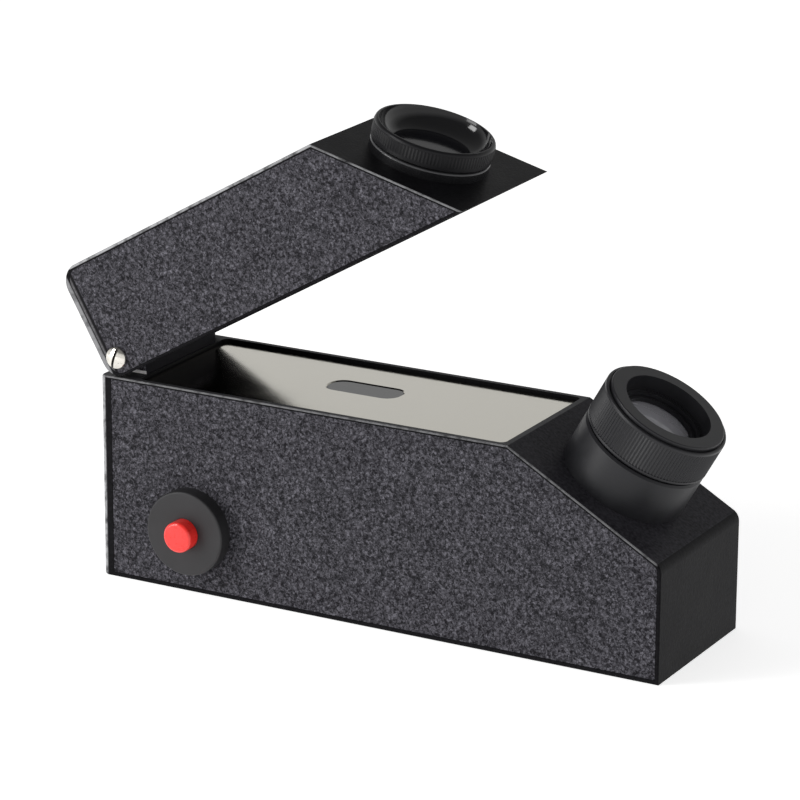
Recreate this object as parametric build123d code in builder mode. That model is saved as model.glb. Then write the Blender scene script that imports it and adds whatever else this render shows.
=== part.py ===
from build123d import *

import os
from math import asin, atan2, cos, degrees, pi, radians, sin, sqrt

# A gem refractometer. X runs from the hinge end to the eyepiece end, -Y is the button side,
# Z is up, and the origin is the centre of the base. All sizes are in millimetres.

# Housing
body_length = 150.0
body_width = 43.0
body_height = 51.0
front_height = 28.5
slant_run = 39.5
wall = 1.6
through_cut = 6.0
edge_radius = 0.4
front_edge_radius = 3.0
rear_edge_radius = 1.6
cover_boss_radius = 3.2
cover_boss_inset = 2.9
cover_boss_height = 12.0

# Textured side panels, let into the housing and the lid
panel_thickness = 0.5
panel_gap = 0.12
panel_rear_margin = 3.1
panel_front_margin = 0.8
panel_top_margin = 0.6
panel_bottom_margin = 1.1

# Stage plate and its opening in the top of the housing
plate_thickness = 1.5
plate_recess = 0.9
plate_gap = 0.15
plate_corner_radius = 1.6
plate_bevel = 0.25
ledge_thickness = 1.2
ledge_width = 1.8
front_rim = 1.5
window_length = 19.5
window_width = 8.2
window_corner_radius = 3.4
window_from_rear = 59.8
window_offset = 2.6

# Half-cylinder of glass under the window
glass_overhang = 0.5
glass_recess = 0.2
optical_gap = 0.1
cheek_thickness = 2.0
mount_margin = 2.3
saddle_width = 7.0

# Hinge
pivot_from_rear = 5.0
pivot_height = 5.0
lid_gap = 0.4
lid_open_angle = 30.0
hinge_block_width = 31.4
hinge_block_depth = 9.6
pivot_screw_radius = 1.6
pivot_thread_radius = 1.25
pivot_thread_length = 6.0
pivot_head_radius = 2.45
pivot_head_thickness = 1.6
pivot_slot_width = 0.7
pivot_slot_depth = 0.6
pivot_slot_angle = -12.0
running_clearance = 0.05
hinge_boss_radius = 3.9
hinge_boss_gap = 0.8
washer_radius = 3.4
washer_play = 0.1
block_screw_radius = 1.5
block_screw_spacing = 18.0
block_screw_length = 7.0
block_screw_head_radius = 3.0
block_screw_head_thickness = 1.5

# Lid
lid_length = 109.6
lid_height = 29.2
lid_face_angle = 45.0
lid_rear_radius = 5.0
lid_panel_rear_margin = 1.6
lid_panel_top_margin = 0.9
hinge_notch_gap = 0.6

# Filter cap parked in a socket on the lid's sloping face
cap_up_slope = 0.35
socket_flange_radius = 14.4
socket_flange_height = 2.3
socket_sleeve_radius = 12.2
socket_sleeve_depth = 3.4
cap_radius = 14.55
cap_height = 4.45
cap_edge_radius = 0.7
cap_groove = 0.6
cap_knurl_count = 108
cap_knurl_depth = 0.12
cap_knurl_margin = 0.9
cap_plug_radius = 10.65
cap_plug_length = 4.2
cap_rim_width = 0.9
cap_dish_depth = 4.35
cap_dish_sag = 0.9
plug_clearance = 0.1
filter_radius = 9.2
filter_thickness = 1.5
filter_aperture_radius = 8.2
filter_seat_gap = 0.1

# Eyepiece, square to the slanted face
eyepiece_down_slope = 22.3
barrel_radius = 15.4
barrel_height = 11.3
barrel_spigot_radius = 13.3
barrel_spigot_length = 6.5
barrel_nut_radius = 15.6
barrel_nut_thickness = 2.4
barrel_edge = 0.5
thread_clearance = 0.1
neck_radius = 12.4
neck_height = 6.3
ring_radius = 15.5
ring_gap = 0.4
ring_height = 9.7
ring_edge_radius = 0.4
ring_foot_chamfer = 0.5
ring_knurl_count = 120
ring_knurl_depth = 0.22
ring_knurl_top_margin = 0.8
ring_knurl_foot_margin = 1.0
ring_shoulder_gap = 0.3
ring_face_radius = 14.5
ring_face_rise = 0.9
ring_face_edge_radius = 0.3
ring_groove_width = 0.35
ring_groove_depth = 0.5
ring_mouth_radius = 10.9
ring_mouth_depth = 3.6
lens_tube_radius = 10.2
lens_tube_wall = 0.9
lens_tube_foot = 3.2
lens_tube_drop = 3.7
lens_stop_radius = 8.2
lens_seat_depth = 4.6
lens_clearance = 0.1
lens_seat_gap = 0.05
lens_ring_thickness = 1.1
lens_ring_radius = 8.5
lens_edge_thickness = 2.0
lens_sag = 1.1
focus_travel = 2.0
guide_screw_radius = 0.8
guide_screw_height = 15.0
guide_slot_gap = 0.1

# Push button in the near side
button_from_rear = 25.8
button_height = 16.0
bezel_radius = 10.5
bezel_thickness = 3.9
bezel_edge_radius = 0.5
bush_radius = 5.0
bush_recess = 0.8
button_radius = 3.8
button_proud = 3.5
button_guide_clearance = 0.1
button_edge_radius = 0.8
button_guide_depth = 4.5
button_stem_radius = 1.2
button_travel = 1.6
contact_play = 0.3
spring_wire_radius = 0.3
spring_radius = 2.4
spring_turns = 5
spring_room = 6.5
switch_width = 13.0
switch_depth = 13.0
switch_nut_size = 7.5
switch_nut_thickness = 1.8

# Optical bench
lamp_distance = 18.0
lamp_tube_length = 12.0
lamp_tube_radius = 7.0
lamp_tube_bore = 5.6
lamp_end_wall = 3.0
colour_filter_thickness = 1.5
led_radius = 2.5
led_length = 8.6
led_flange_radius = 2.9
led_flange_thickness = 1.0
led_lead_radius = 0.3
led_lead_length = 4.0
led_lead_spacing = 2.54
relay_distance = 18.0
relay_mirror_gap = 15.2
relay_tube_radius = 8.0
relay_tube_wall = 1.2
relay_lens_from_end = 4.0
relay_lens_edge = 1.8
relay_lens_sag = 0.9
scale_end_gap = 6.0
scale_thickness = 1.5
relay_ring_thickness = 1.0
relay_ring_wall = 0.9
hanger_thickness = 4.0
hanger_width = 20.0
hanger_margin = 1.6
mirror_depth = 29.0
mirror_length = 26.0
mirror_width = 20.0
mirror_thickness = 2.0

# Base cover and batteries
base_thickness = 1.5
cover_gap = 0.15
cover_screw_radius = 1.25
cover_screw_length = 8.0
cover_screw_head_radius = 2.5
cover_screw_recess = 0.2
cell_radius = 5.2
cell_length = 43.0
cell_tip_radius = 1.9
cell_tip_length = 1.4
cell_pitch = 11.6
cell_gap = 0.15
tray_floor = 1.2
tray_wall = 1.4
tray_height = 7.0
tray_mirror_gap = 14.6
tray_side_gap = 1.85
contact_thickness = 0.4
contact_height = 8.0

# Places worked out from the sizes above
rear_x = -body_length / 2
front_x = body_length / 2
half_width = body_width / 2
slant_top_x = front_x - slant_run
slant_angle = atan2(body_height - front_height, slant_run)
slant_sin = sin(slant_angle)
slant_cos = cos(slant_angle)
plate_top = body_height - plate_recess
plate_floor = plate_top - plate_thickness
ceiling = plate_floor - ledge_thickness
hinge_block_front = rear_x + pivot_from_rear + hinge_block_depth / 2
opening_rear = hinge_block_front + lid_gap
opening_front = slant_top_x - front_rim
opening_middle = (opening_rear + opening_front) / 2
window_x = rear_x + window_from_rear
inner_half_width = half_width - wall
pivot_x = rear_x + pivot_from_rear
pivot_z = body_height + pivot_height


def inset_outline(rear, top, slant, front, bottom):
    """Corners of the housing's side view, each edge moved inwards by its own distance."""
    reach = slant_top_x * slant_sin + body_height * slant_cos - slant
    z_top = body_height - top
    x_front = front_x - front
    return [
        (rear_x + rear, bottom),
        (x_front, bottom),
        (x_front, (reach - x_front * slant_sin) / slant_cos),
        ((reach - z_top * slant_cos) / slant_sin, z_top),
        (rear_x + rear, z_top),
    ]


def panel_outline(gap):
    """Corners of the textured panel's place on the housing, drawn in by a gap."""
    return inset_outline(
        panel_rear_margin + gap,
        panel_top_margin + gap,
        panel_top_margin + gap,
        panel_front_margin + gap,
        panel_bottom_margin + gap,
    )


def round_front(sketch, radius):
    """Round the corner where the slanted face meets the front face."""
    fillet(sketch.vertices().group_by(Axis.X)[-1].sort_by(Axis.Y)[-1], radius)


# Body housing: one smooth box with a slanted end, open below and at the stage.
slant_plane = Plane(
    origin=(
        slant_top_x + eyepiece_down_slope * slant_cos,
        0,
        body_height - eyepiece_down_slope * slant_sin,
    ),
    x_dir=(0, 1, 0),
    z_dir=(slant_sin, 0, slant_cos),
)
button_x = rear_x + button_from_rear
cover_screw_x = body_length / 2 - wall - cover_boss_inset
cover_screw_y = inner_half_width - cover_boss_inset

with BuildPart() as body_housing:
    with BuildSketch(Plane.XZ) as housing_outline:
        with BuildLine():
            Polyline(*inset_outline(0, 0, 0, 0, 0), close=True)
        make_face()
        round_front(housing_outline, front_edge_radius)
    extrude(amount=half_width, both=True)
    fillet(body_housing.edges().filter_by(Axis.Z).group_by(Axis.X)[0], rear_edge_radius)
    side_edges = body_housing.faces().filter_by(Axis.Y).edges()
    rear_seams = side_edges.filter_by(Axis.Z).group_by(Axis.X)[0]
    fillet(side_edges - rear_seams, edge_radius)
    with BuildSketch(Plane.XZ):
        with BuildLine():
            Polyline(*inset_outline(wall, body_height - ceiling, wall, wall, 0), close=True)
        make_face()
    extrude(amount=inner_half_width, both=True, mode=Mode.SUBTRACT)
    with BuildSketch(Plane.XY.offset(plate_floor)):
        with Locations((opening_middle, 0)):
            RectangleRounded(opening_front - opening_rear, 2 * inner_half_width, plate_corner_radius)
    extrude(amount=plate_thickness + plate_recess, mode=Mode.SUBTRACT)
    with BuildSketch(Plane.XY.offset(ceiling)):
        with Locations((opening_middle, 0)):
            Rectangle(
                opening_front - opening_rear - 2 * ledge_width,
                2 * (inner_half_width - ledge_width),
            )
    extrude(amount=ledge_thickness, mode=Mode.SUBTRACT)
    for side in (-1, 1):
        with BuildSketch(Plane.XZ.offset(side * half_width)) as rebate:
            with BuildLine():
                Polyline(*panel_outline(0), close=True)
            make_face()
            round_front(rebate, front_edge_radius - panel_front_margin)
        extrude(amount=-side * panel_thickness, mode=Mode.SUBTRACT)
    with BuildSketch(Plane.XY.offset(base_thickness)):
        with GridLocations(2 * cover_screw_x, 2 * cover_screw_y, 2, 2):
            Circle(cover_boss_radius)
    extrude(amount=cover_boss_height)
    with BuildSketch(Plane.XY.offset(base_thickness)):
        with GridLocations(2 * cover_screw_x, 2 * cover_screw_y, 2, 2):
            Circle(cover_screw_radius + thread_clearance)
    extrude(amount=cover_boss_height, mode=Mode.SUBTRACT)
    with BuildSketch(slant_plane):
        Circle(barrel_spigot_radius + thread_clearance)
    extrude(amount=-through_cut, mode=Mode.SUBTRACT)
    with BuildSketch(Plane.XZ.offset(half_width)):
        with Locations((button_x, button_height)):
            Circle(bush_radius + thread_clearance)
    extrude(amount=-through_cut, mode=Mode.SUBTRACT)
    with BuildSketch(Plane.XY.offset(ceiling)):
        with Locations((pivot_x, 0)):
            with GridLocations(0, block_screw_spacing, 1, 2):
                Circle(block_screw_radius + thread_clearance)
    extrude(amount=body_height - ceiling, mode=Mode.SUBTRACT)

# Side panels of the body: thin textured sheets, flush with the housing around them.
with BuildPart() as near_side_panel:
    with BuildSketch(Plane.XZ.offset(half_width)) as near_outline:
        with BuildLine():
            Polyline(*panel_outline(panel_gap), close=True)
        make_face()
        round_front(near_outline, front_edge_radius - panel_front_margin)
        with Locations((button_x, button_height)):
            Circle(bush_radius + thread_clearance, mode=Mode.SUBTRACT)
    extrude(amount=-panel_thickness)

with BuildPart() as far_side_panel:
    with BuildSketch(Plane.XZ.offset(-half_width)) as far_outline:
        with BuildLine():
            Polyline(*panel_outline(panel_gap), close=True)
        make_face()
        round_front(far_outline, front_edge_radius - panel_front_margin)
    extrude(amount=panel_thickness)

# Stage plate: a polished steel sheet on the ledge, with the window for the glass.
with BuildPart() as stage_plate:
    with BuildSketch(Plane.XY.offset(plate_floor)):
        with Locations((opening_middle, 0)):
            RectangleRounded(
                opening_front - opening_rear - 2 * plate_gap,
                2 * (inner_half_width - plate_gap),
                plate_corner_radius - plate_gap,
            )
        with Locations((window_x, window_offset)):
            RectangleRounded(window_length, window_width, window_corner_radius, mode=Mode.SUBTRACT)
    extrude(amount=plate_thickness)
    chamfer(stage_plate.faces().sort_by(Axis.Z)[-1].edges(), plate_bevel)

# Stage glass: a half-cylinder across the light path, with a pad that fills the window.
glass_radius = window_length / 2 + glass_overhang
glass_width = window_width - 2 * optical_gap
glass_plane = Plane(origin=(window_x, window_offset, plate_floor), x_dir=(1, 0, 0), z_dir=(0, -1, 0))
with BuildPart() as stage_glass:
    with BuildSketch(glass_plane):
        Circle(glass_radius)
        Rectangle(
            body_length, glass_radius, align=(Align.CENTER, Align.MIN), mode=Mode.SUBTRACT
        )
    extrude(amount=glass_width / 2, both=True)
    with BuildSketch(Plane.XY.offset(plate_floor)):
        with Locations((window_x, window_offset)):
            RectangleRounded(
                window_length - 2 * optical_gap,
                glass_width,
                window_corner_radius - optical_gap,
            )
    extrude(amount=plate_thickness - glass_recess)

# Prism mount: two cheeks and a saddle that carry the glass and leave both light ports open.
mount_length = 2 * (glass_radius + mount_margin)
mount_height = glass_radius + mount_margin
with BuildPart() as prism_mount:
    with BuildSketch(glass_plane):
        Rectangle(mount_length, mount_height, align=(Align.CENTER, Align.MAX))
    extrude(amount=glass_width / 2 + optical_gap + cheek_thickness, both=True)
    with BuildSketch(glass_plane):
        Rectangle(mount_length, mount_height, align=(Align.CENTER, Align.MAX))
        Rectangle(
            saddle_width, mount_height, align=(Align.CENTER, Align.MAX), mode=Mode.SUBTRACT
        )
        Circle(glass_radius + optical_gap)
    extrude(amount=glass_width / 2 + optical_gap, both=True, mode=Mode.SUBTRACT)

# Optical train: the lamp's rays rise to the window, go down to the mirror and up the eyepiece.
glass_centre = Vector(window_x, window_offset, plate_floor)
eyepiece_axis = Vector(slant_sin, 0, slant_cos)
mirror_centre = slant_plane.origin - eyepiece_axis * mirror_depth + Vector(0, window_offset, 0)
beam_length = (mirror_centre - glass_centre).length
down_beam = (mirror_centre - glass_centre).normalized()
lamp_beam = Vector(-down_beam.X, 0, down_beam.Z)
mirror_normal = (eyepiece_axis - down_beam).normalized()
beam_cos = abs(down_beam.X)
beam_sin = abs(down_beam.Z)


def lamp_plane(distance):
    """Plane square to the lamp's beam, at a distance from the glass."""
    return Plane(origin=glass_centre + lamp_beam * distance, x_dir=(0, 1, 0), z_dir=lamp_beam)


def relay_plane(distance):
    """Plane square to the beam to the mirror, at a distance from the glass."""
    return Plane(origin=glass_centre + down_beam * distance, x_dir=(0, 1, 0), z_dir=down_beam)


# Lamp tube with the colour filter at its mouth and the lamp in its end wall.
lamp_end = lamp_distance + lamp_tube_length
with BuildPart() as lamp_tube:
    with BuildSketch(lamp_plane(lamp_distance)):
        Circle(lamp_tube_radius)
    extrude(amount=lamp_tube_length)
    with BuildSketch(lamp_plane(lamp_distance)):
        Circle(lamp_tube_bore)
    extrude(amount=lamp_tube_length - lamp_end_wall, mode=Mode.SUBTRACT)
    with BuildSketch(lamp_plane(lamp_end)):
        Circle(led_radius + thread_clearance)
    extrude(amount=-lamp_end_wall, mode=Mode.SUBTRACT)

with BuildPart() as colour_filter:
    with BuildSketch(lamp_plane(lamp_distance)):
        Circle(lamp_tube_bore - lens_clearance)
    extrude(amount=colour_filter_thickness)

with BuildPart() as lamp:
    with BuildSketch(lamp_plane(lamp_end + led_flange_thickness)):
        Circle(led_radius)
    extrude(amount=-led_length + led_radius)
    with Locations(lamp_plane(lamp_end + led_flange_thickness - led_length + led_radius)):
        Sphere(led_radius)
    with BuildSketch(lamp_plane(lamp_end)):
        Circle(led_flange_radius)
    extrude(amount=led_flange_thickness)
    with BuildSketch(lamp_plane(lamp_end + led_flange_thickness)):
        with GridLocations(led_lead_spacing, 0, 2, 1):
            Circle(led_lead_radius)
    extrude(amount=led_lead_length)

# Relay tube with its lens, the measuring scale and their retaining rings.
relay_bore = relay_tube_radius - relay_tube_wall
relay_tube_length = beam_length - relay_distance - relay_mirror_gap
with BuildPart() as relay_tube:
    with BuildSketch(relay_plane(relay_distance)):
        Circle(relay_tube_radius)
        Circle(relay_bore, mode=Mode.SUBTRACT)
    extrude(amount=relay_tube_length)

relay_lens_start = relay_distance + relay_lens_from_end
scale_start = relay_distance + relay_tube_length - scale_end_gap
relay_seat_radius = relay_bore - lens_clearance


def section_plane(plane):
    """Plane that holds an axis: its Y runs along the given plane's normal."""
    return Plane(origin=plane.origin, x_dir=plane.x_dir, z_dir=plane.x_dir.cross(plane.z_dir))


def axis_of(plane):
    """Axis along a plane's normal, through its origin."""
    return Axis(plane.origin, plane.z_dir)


def lens_rise(radius, sag, reach):
    """How far a lens face stands above its rim's plane, at a distance from the axis."""
    face_radius = (radius**2 + sag**2) / (2 * sag)
    return sqrt(face_radius**2 - reach**2) - face_radius + sag


def build_lens(plane, radius, edge, sag):
    """Lens on a plane's axis, its rim from the plane upwards, both faces swelling by sag."""
    face_radius = (radius**2 + sag**2) / (2 * sag)
    half_arc = degrees(asin(radius / face_radius))
    with BuildPart() as lens:
        with BuildSketch(section_plane(plane)):
            with BuildLine():
                Line((0, -sag), (0, edge + sag))
                CenterArc((0, edge + sag - face_radius), face_radius, 90 - half_arc, half_arc)
                Line((radius, edge), (radius, 0))
                CenterArc((0, face_radius - sag), face_radius, 270, half_arc)
            make_face()
        revolve(axis=axis_of(plane))
    return lens


relay_lens = build_lens(
    relay_plane(relay_lens_start), relay_seat_radius, relay_lens_edge, relay_lens_sag
)

with BuildPart() as scale_disc:
    with BuildSketch(relay_plane(scale_start)):
        Circle(relay_seat_radius)
    extrude(amount=scale_thickness)

relay_ring_bore = relay_seat_radius - relay_ring_wall
relay_lens_rise = lens_rise(relay_seat_radius, relay_lens_sag, relay_ring_bore)
with BuildPart() as relay_retaining_rings:
    for ring_start in (
        relay_lens_start + relay_lens_edge + relay_lens_rise + lens_seat_gap,
        scale_start + scale_thickness,
    ):
        with BuildSketch(relay_plane(ring_start)):
            Circle(relay_seat_radius)
            Circle(relay_ring_bore, mode=Mode.SUBTRACT)
        extrude(amount=relay_ring_thickness)


def build_hanger(plane, tube_radius):
    """Plate that hangs from the stage plate, with a hole for a tube that leans through it."""
    drop = tube_radius / beam_cos + hanger_thickness / 2 * beam_sin / beam_cos + hanger_margin
    with BuildPart() as hanger:
        with BuildSketch(Plane.XY.offset(plate_floor)):
            with Locations((plane.origin.X, window_offset)):
                Rectangle(hanger_thickness, hanger_width)
        extrude(amount=-(plate_floor - plane.origin.Z + drop))
        with BuildSketch(plane):
            Circle(tube_radius + thread_clearance)
        extrude(amount=2 * hanger_thickness, both=True, mode=Mode.SUBTRACT)
    return hanger


lamp_hanger = build_hanger(lamp_plane(lamp_distance + lamp_tube_length / 2), lamp_tube_radius)
relay_hanger = build_hanger(
    relay_plane(relay_distance + relay_tube_length / 2), relay_tube_radius
)

# Mirror on a wedge that stands on the base cover.
mirror_plane = Plane(
    origin=Vector(mirror_centre.X, 0, mirror_centre.Z), x_dir=(0, 1, 0), z_dir=mirror_normal
)
with BuildPart() as beam_mirror:
    with BuildSketch(mirror_plane):
        Rectangle(mirror_width, mirror_length)
    extrude(amount=-mirror_thickness)

wedge_length = mirror_length * mirror_normal.Z
with BuildPart() as mirror_wedge:
    with BuildSketch(Plane.XY.offset(base_thickness)):
        with Locations((mirror_centre.X, 0)):
            Rectangle(wedge_length, mirror_width)
    extrude(amount=mirror_centre.Z)
    with BuildSketch(mirror_plane.offset(-mirror_thickness)):
        Rectangle(2 * mirror_width, 2 * mirror_length)
    extrude(amount=body_height, mode=Mode.SUBTRACT)

# Base cover and its countersunk screws.
with BuildPart() as base_cover:
    with BuildSketch(Plane.XY):
        Rectangle(body_length - 2 * (wall + cover_gap), 2 * (inner_half_width - cover_gap))
    extrude(amount=base_thickness)
    with Locations(Plane.XY):
        with GridLocations(2 * cover_screw_x, 2 * cover_screw_y, 2, 2):
            with Locations(Rotation(180, 0, 0)):
                CounterSinkHole(
                    cover_screw_radius + thread_clearance,
                    cover_screw_head_radius + cover_screw_recess,
                )

screw_cone = cover_screw_head_radius - cover_screw_radius
with BuildPart() as base_cover_screws:
    with BuildSketch(Plane.XZ.offset(-cover_screw_y)):
        with BuildLine():
            Polyline(
                (cover_screw_x, cover_screw_recess),
                (cover_screw_x + cover_screw_head_radius, cover_screw_recess),
                (cover_screw_x + cover_screw_radius, cover_screw_recess + screw_cone),
                (cover_screw_x + cover_screw_radius, cover_screw_length),
                (cover_screw_x, cover_screw_length),
                close=True,
            )
        make_face()
    revolve(axis=Axis((cover_screw_x, cover_screw_y, 0), (0, 0, 1)))
    mirror(about=Plane.YZ)
    mirror(about=Plane.XZ)

# Battery tray, two cells and the contact strips at their ends.
tray_length = cell_length + cell_tip_length + 2 * (tray_wall + contact_thickness + cell_gap)
tray_width = cell_pitch + 2 * (cell_radius + cell_gap + tray_wall)
tray_x = mirror_centre.X - wedge_length / 2 - tray_mirror_gap - tray_length / 2
tray_offset = inner_half_width - tray_side_gap - tray_width / 2
cell_start = tray_x - tray_length / 2 + tray_wall + contact_thickness + cell_gap
cell_z = base_thickness + tray_floor + cell_gap + cell_radius
with BuildPart() as battery_tray:
    with BuildSketch(Plane.XY.offset(base_thickness)):
        with Locations((tray_x, tray_offset)):
            Rectangle(tray_length, tray_width)
    extrude(amount=tray_height)
    with BuildSketch(Plane.XY.offset(base_thickness + tray_floor)):
        with Locations((tray_x, tray_offset)):
            Rectangle(tray_length - 2 * tray_wall, tray_width - 2 * tray_wall)
    extrude(amount=tray_height, mode=Mode.SUBTRACT)

cell_places = [
    (tray_offset - cell_pitch / 2, cell_z),
    (tray_offset + cell_pitch / 2, cell_z),
]
with BuildPart() as batteries:
    with BuildSketch(Plane.YZ.offset(cell_start)):
        with Locations(*cell_places):
            Circle(cell_radius)
    extrude(amount=cell_length)
    with BuildSketch(Plane.YZ.offset(cell_start + cell_length)):
        with Locations(*cell_places):
            Circle(cell_tip_radius)
    extrude(amount=cell_tip_length)

with BuildPart() as battery_contacts:
    for strip_x in (
        tray_x - tray_length / 2 + tray_wall,
        tray_x + tray_length / 2 - tray_wall - contact_thickness,
    ):
        with BuildSketch(Plane.XY.offset(base_thickness + tray_floor)):
            with Locations((strip_x + contact_thickness / 2, tray_offset)):
                with GridLocations(0, cell_pitch, 1, 2):
                    Rectangle(contact_thickness, cell_radius)
        extrude(amount=contact_height)

# Push button: the bezel outside, the switch, its nut and its spring inside.
bush_front = half_width + bezel_thickness - bush_recess
button_back = half_width + bezel_thickness - button_guide_depth
spring_end = button_back - spring_room
switch_front = inner_half_width - panel_thickness - switch_nut_thickness
button_bore = button_radius + button_guide_clearance


def button_plane(distance):
    """Plane square to the button's travel, at a distance from the middle of the body."""
    return Plane(origin=(button_x, -distance, button_height), x_dir=(1, 0, 0), z_dir=(0, -1, 0))


with BuildPart() as switch_bezel:
    with BuildSketch(button_plane(half_width)):
        Circle(bezel_radius)
    extrude(amount=bezel_thickness)
    fillet(switch_bezel.faces().sort_by(Axis.Y)[0].edges(), bezel_edge_radius)
    with BuildSketch(button_plane(half_width)):
        Circle(bush_radius + thread_clearance)
    extrude(amount=bezel_thickness - bush_recess, mode=Mode.SUBTRACT)
    with BuildSketch(button_plane(half_width)):
        Circle(button_bore)
    extrude(amount=bezel_thickness, mode=Mode.SUBTRACT)

with BuildPart() as switch_body:
    with BuildSketch(button_plane(switch_front)):
        Circle(bush_radius)
    extrude(amount=bush_front - switch_front - thread_clearance)
    with BuildSketch(button_plane(switch_front)):
        RectangleRounded(switch_width, switch_width, edge_radius)
    extrude(amount=-switch_depth)
    with BuildSketch(button_plane(spring_end)):
        Circle(button_bore)
    extrude(amount=bush_front - spring_end, mode=Mode.SUBTRACT)

with BuildPart() as switch_nut:
    with BuildSketch(button_plane(inner_half_width)):
        RegularPolygon(switch_nut_size, 6)
        Circle(bush_radius + thread_clearance, mode=Mode.SUBTRACT)
    extrude(amount=-switch_nut_thickness)

with BuildPart() as push_button:
    with BuildSketch(button_plane(button_back)):
        Circle(button_radius)
    extrude(amount=button_guide_depth + button_proud)
    fillet(push_button.faces().sort_by(Axis.Y)[0].edges(), button_edge_radius)
    with BuildSketch(button_plane(button_back)):
        Circle(button_stem_radius)
    extrude(amount=-(spring_room - button_travel - contact_play))

spring_length = spring_room - 2 * spring_wire_radius
with BuildPart() as button_spring:
    with BuildLine() as spring_path:
        Helix(
            pitch=spring_length / spring_turns,
            height=spring_length,
            radius=spring_radius,
            center=(button_x, -(button_back - spring_wire_radius), button_height),
            direction=(0, 1, 0),
        )
    with BuildSketch(Plane(origin=spring_path.line @ 0, z_dir=spring_path.line % 0)):
        Circle(spring_wire_radius)
    sweep()

# Hinge block: screwed to the housing's top, rounded about the pivot.
pivot_plane = Plane(origin=(pivot_x, 0, pivot_z), x_dir=(1, 0, 0), z_dir=(0, -1, 0))
block_radius = hinge_block_depth / 2
with BuildPart() as hinge_block:
    with BuildSketch(pivot_plane):
        Circle(block_radius)
        Rectangle(hinge_block_depth, pivot_height, align=(Align.CENTER, Align.MAX))
    extrude(amount=hinge_block_width / 2, both=True)
    for side in (-1, 1):
        with BuildSketch(pivot_plane.offset(side * hinge_block_width / 2)):
            Circle(pivot_thread_radius + running_clearance)
        extrude(amount=-side * (pivot_thread_length + running_clearance), mode=Mode.SUBTRACT)
    with BuildSketch(Plane.XY.offset(body_height)):
        with Locations((pivot_x, 0)):
            with GridLocations(0, block_screw_spacing, 1, 2):
                Circle(block_screw_radius + thread_clearance)
    extrude(amount=block_screw_length, mode=Mode.SUBTRACT)

with BuildPart() as hinge_block_screws:
    with BuildSketch(Plane.XY.offset(ceiling)):
        with Locations((pivot_x, 0)):
            with GridLocations(0, block_screw_spacing, 1, 2):
                Circle(block_screw_radius)
    extrude(amount=block_screw_length)
    with BuildSketch(Plane.XY.offset(ceiling)):
        with Locations((pivot_x, 0)):
            with GridLocations(0, block_screw_spacing, 1, 2):
                Circle(block_screw_head_radius)
    extrude(amount=-block_screw_head_thickness)

# Pivot screws: slotted heads outside the lid, plain shoulders that the lid turns on.
block_end = hinge_block_width / 2
boss_inner = block_end + hinge_boss_gap
head_seat = half_width + washer_play
with BuildPart() as hinge_screws:
    for side in (-1, 1):
        with BuildSketch(pivot_plane.offset(side * head_seat)):
            Circle(pivot_head_radius)
        extrude(amount=side * pivot_head_thickness)
        with BuildSketch(pivot_plane.offset(side * block_end)):
            Circle(pivot_screw_radius)
        extrude(amount=side * (head_seat - block_end))
        with BuildSketch(pivot_plane.offset(side * block_end)):
            Circle(pivot_thread_radius)
        extrude(amount=-side * pivot_thread_length)
        with BuildSketch(pivot_plane.offset(side * (head_seat + pivot_head_thickness))):
            Rectangle(pivot_slot_width, body_width, rotation=pivot_slot_angle)
        extrude(amount=-side * pivot_slot_depth, mode=Mode.SUBTRACT)

# Lid, drawn closed on a plane at the pivot and tilted open about it.
open_angle = radians(lid_open_angle)
lid_plane = Plane(
    origin=(pivot_x, 0, pivot_z),
    x_dir=(cos(open_angle), 0, sin(open_angle)),
    z_dir=(0, -1, 0),
)
lid_swing = pivot_height - lid_gap
lid_top = lid_height - lid_swing
lid_tip = lid_length - lid_swing
face_angle = radians(lid_face_angle)
face_sin = sin(face_angle)
face_cos = cos(face_angle)
lid_shoulder = lid_tip - lid_height * face_cos / face_sin


def lid_outline(rear, top, face, bottom):
    """Corners of the closed lid's side view about the pivot, each edge moved inwards."""
    reach = lid_tip * face_sin - lid_swing * face_cos - face
    low = -lid_swing + bottom
    high = lid_top - top
    return [
        (-lid_swing + rear, low),
        ((reach - low * face_cos) / face_sin, low),
        ((reach - high * face_cos) / face_sin, high),
        (-lid_swing + rear, high),
    ]


def round_lid_rear(sketch, bottom_radius, top_radius):
    """Round the two rear corners of the lid's side view."""
    rear_corners = sketch.vertices().group_by(Axis.X)[0].sort_by(Axis.Y)
    fillet(rear_corners[0], bottom_radius)
    fillet(sketch.vertices().group_by(Axis.X)[0].sort_by(Axis.Y)[-1], top_radius)


# Place of the filter socket: the middle of the lid's sloping face.
face_middle = Vector((lid_tip + lid_shoulder) / 2, (lid_top - lid_swing) / 2, 0)
face_middle += Vector(-face_cos, face_sin, 0) * cap_up_slope
normal_angle = open_angle + radians(90) - face_angle
face_plane = Plane(
    origin=lid_plane.from_local_coords(face_middle),
    x_dir=(0, 1, 0),
    z_dir=(cos(normal_angle), 0, sin(normal_angle)),
)
socket_bore = cap_plug_radius + plug_clearance

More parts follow.
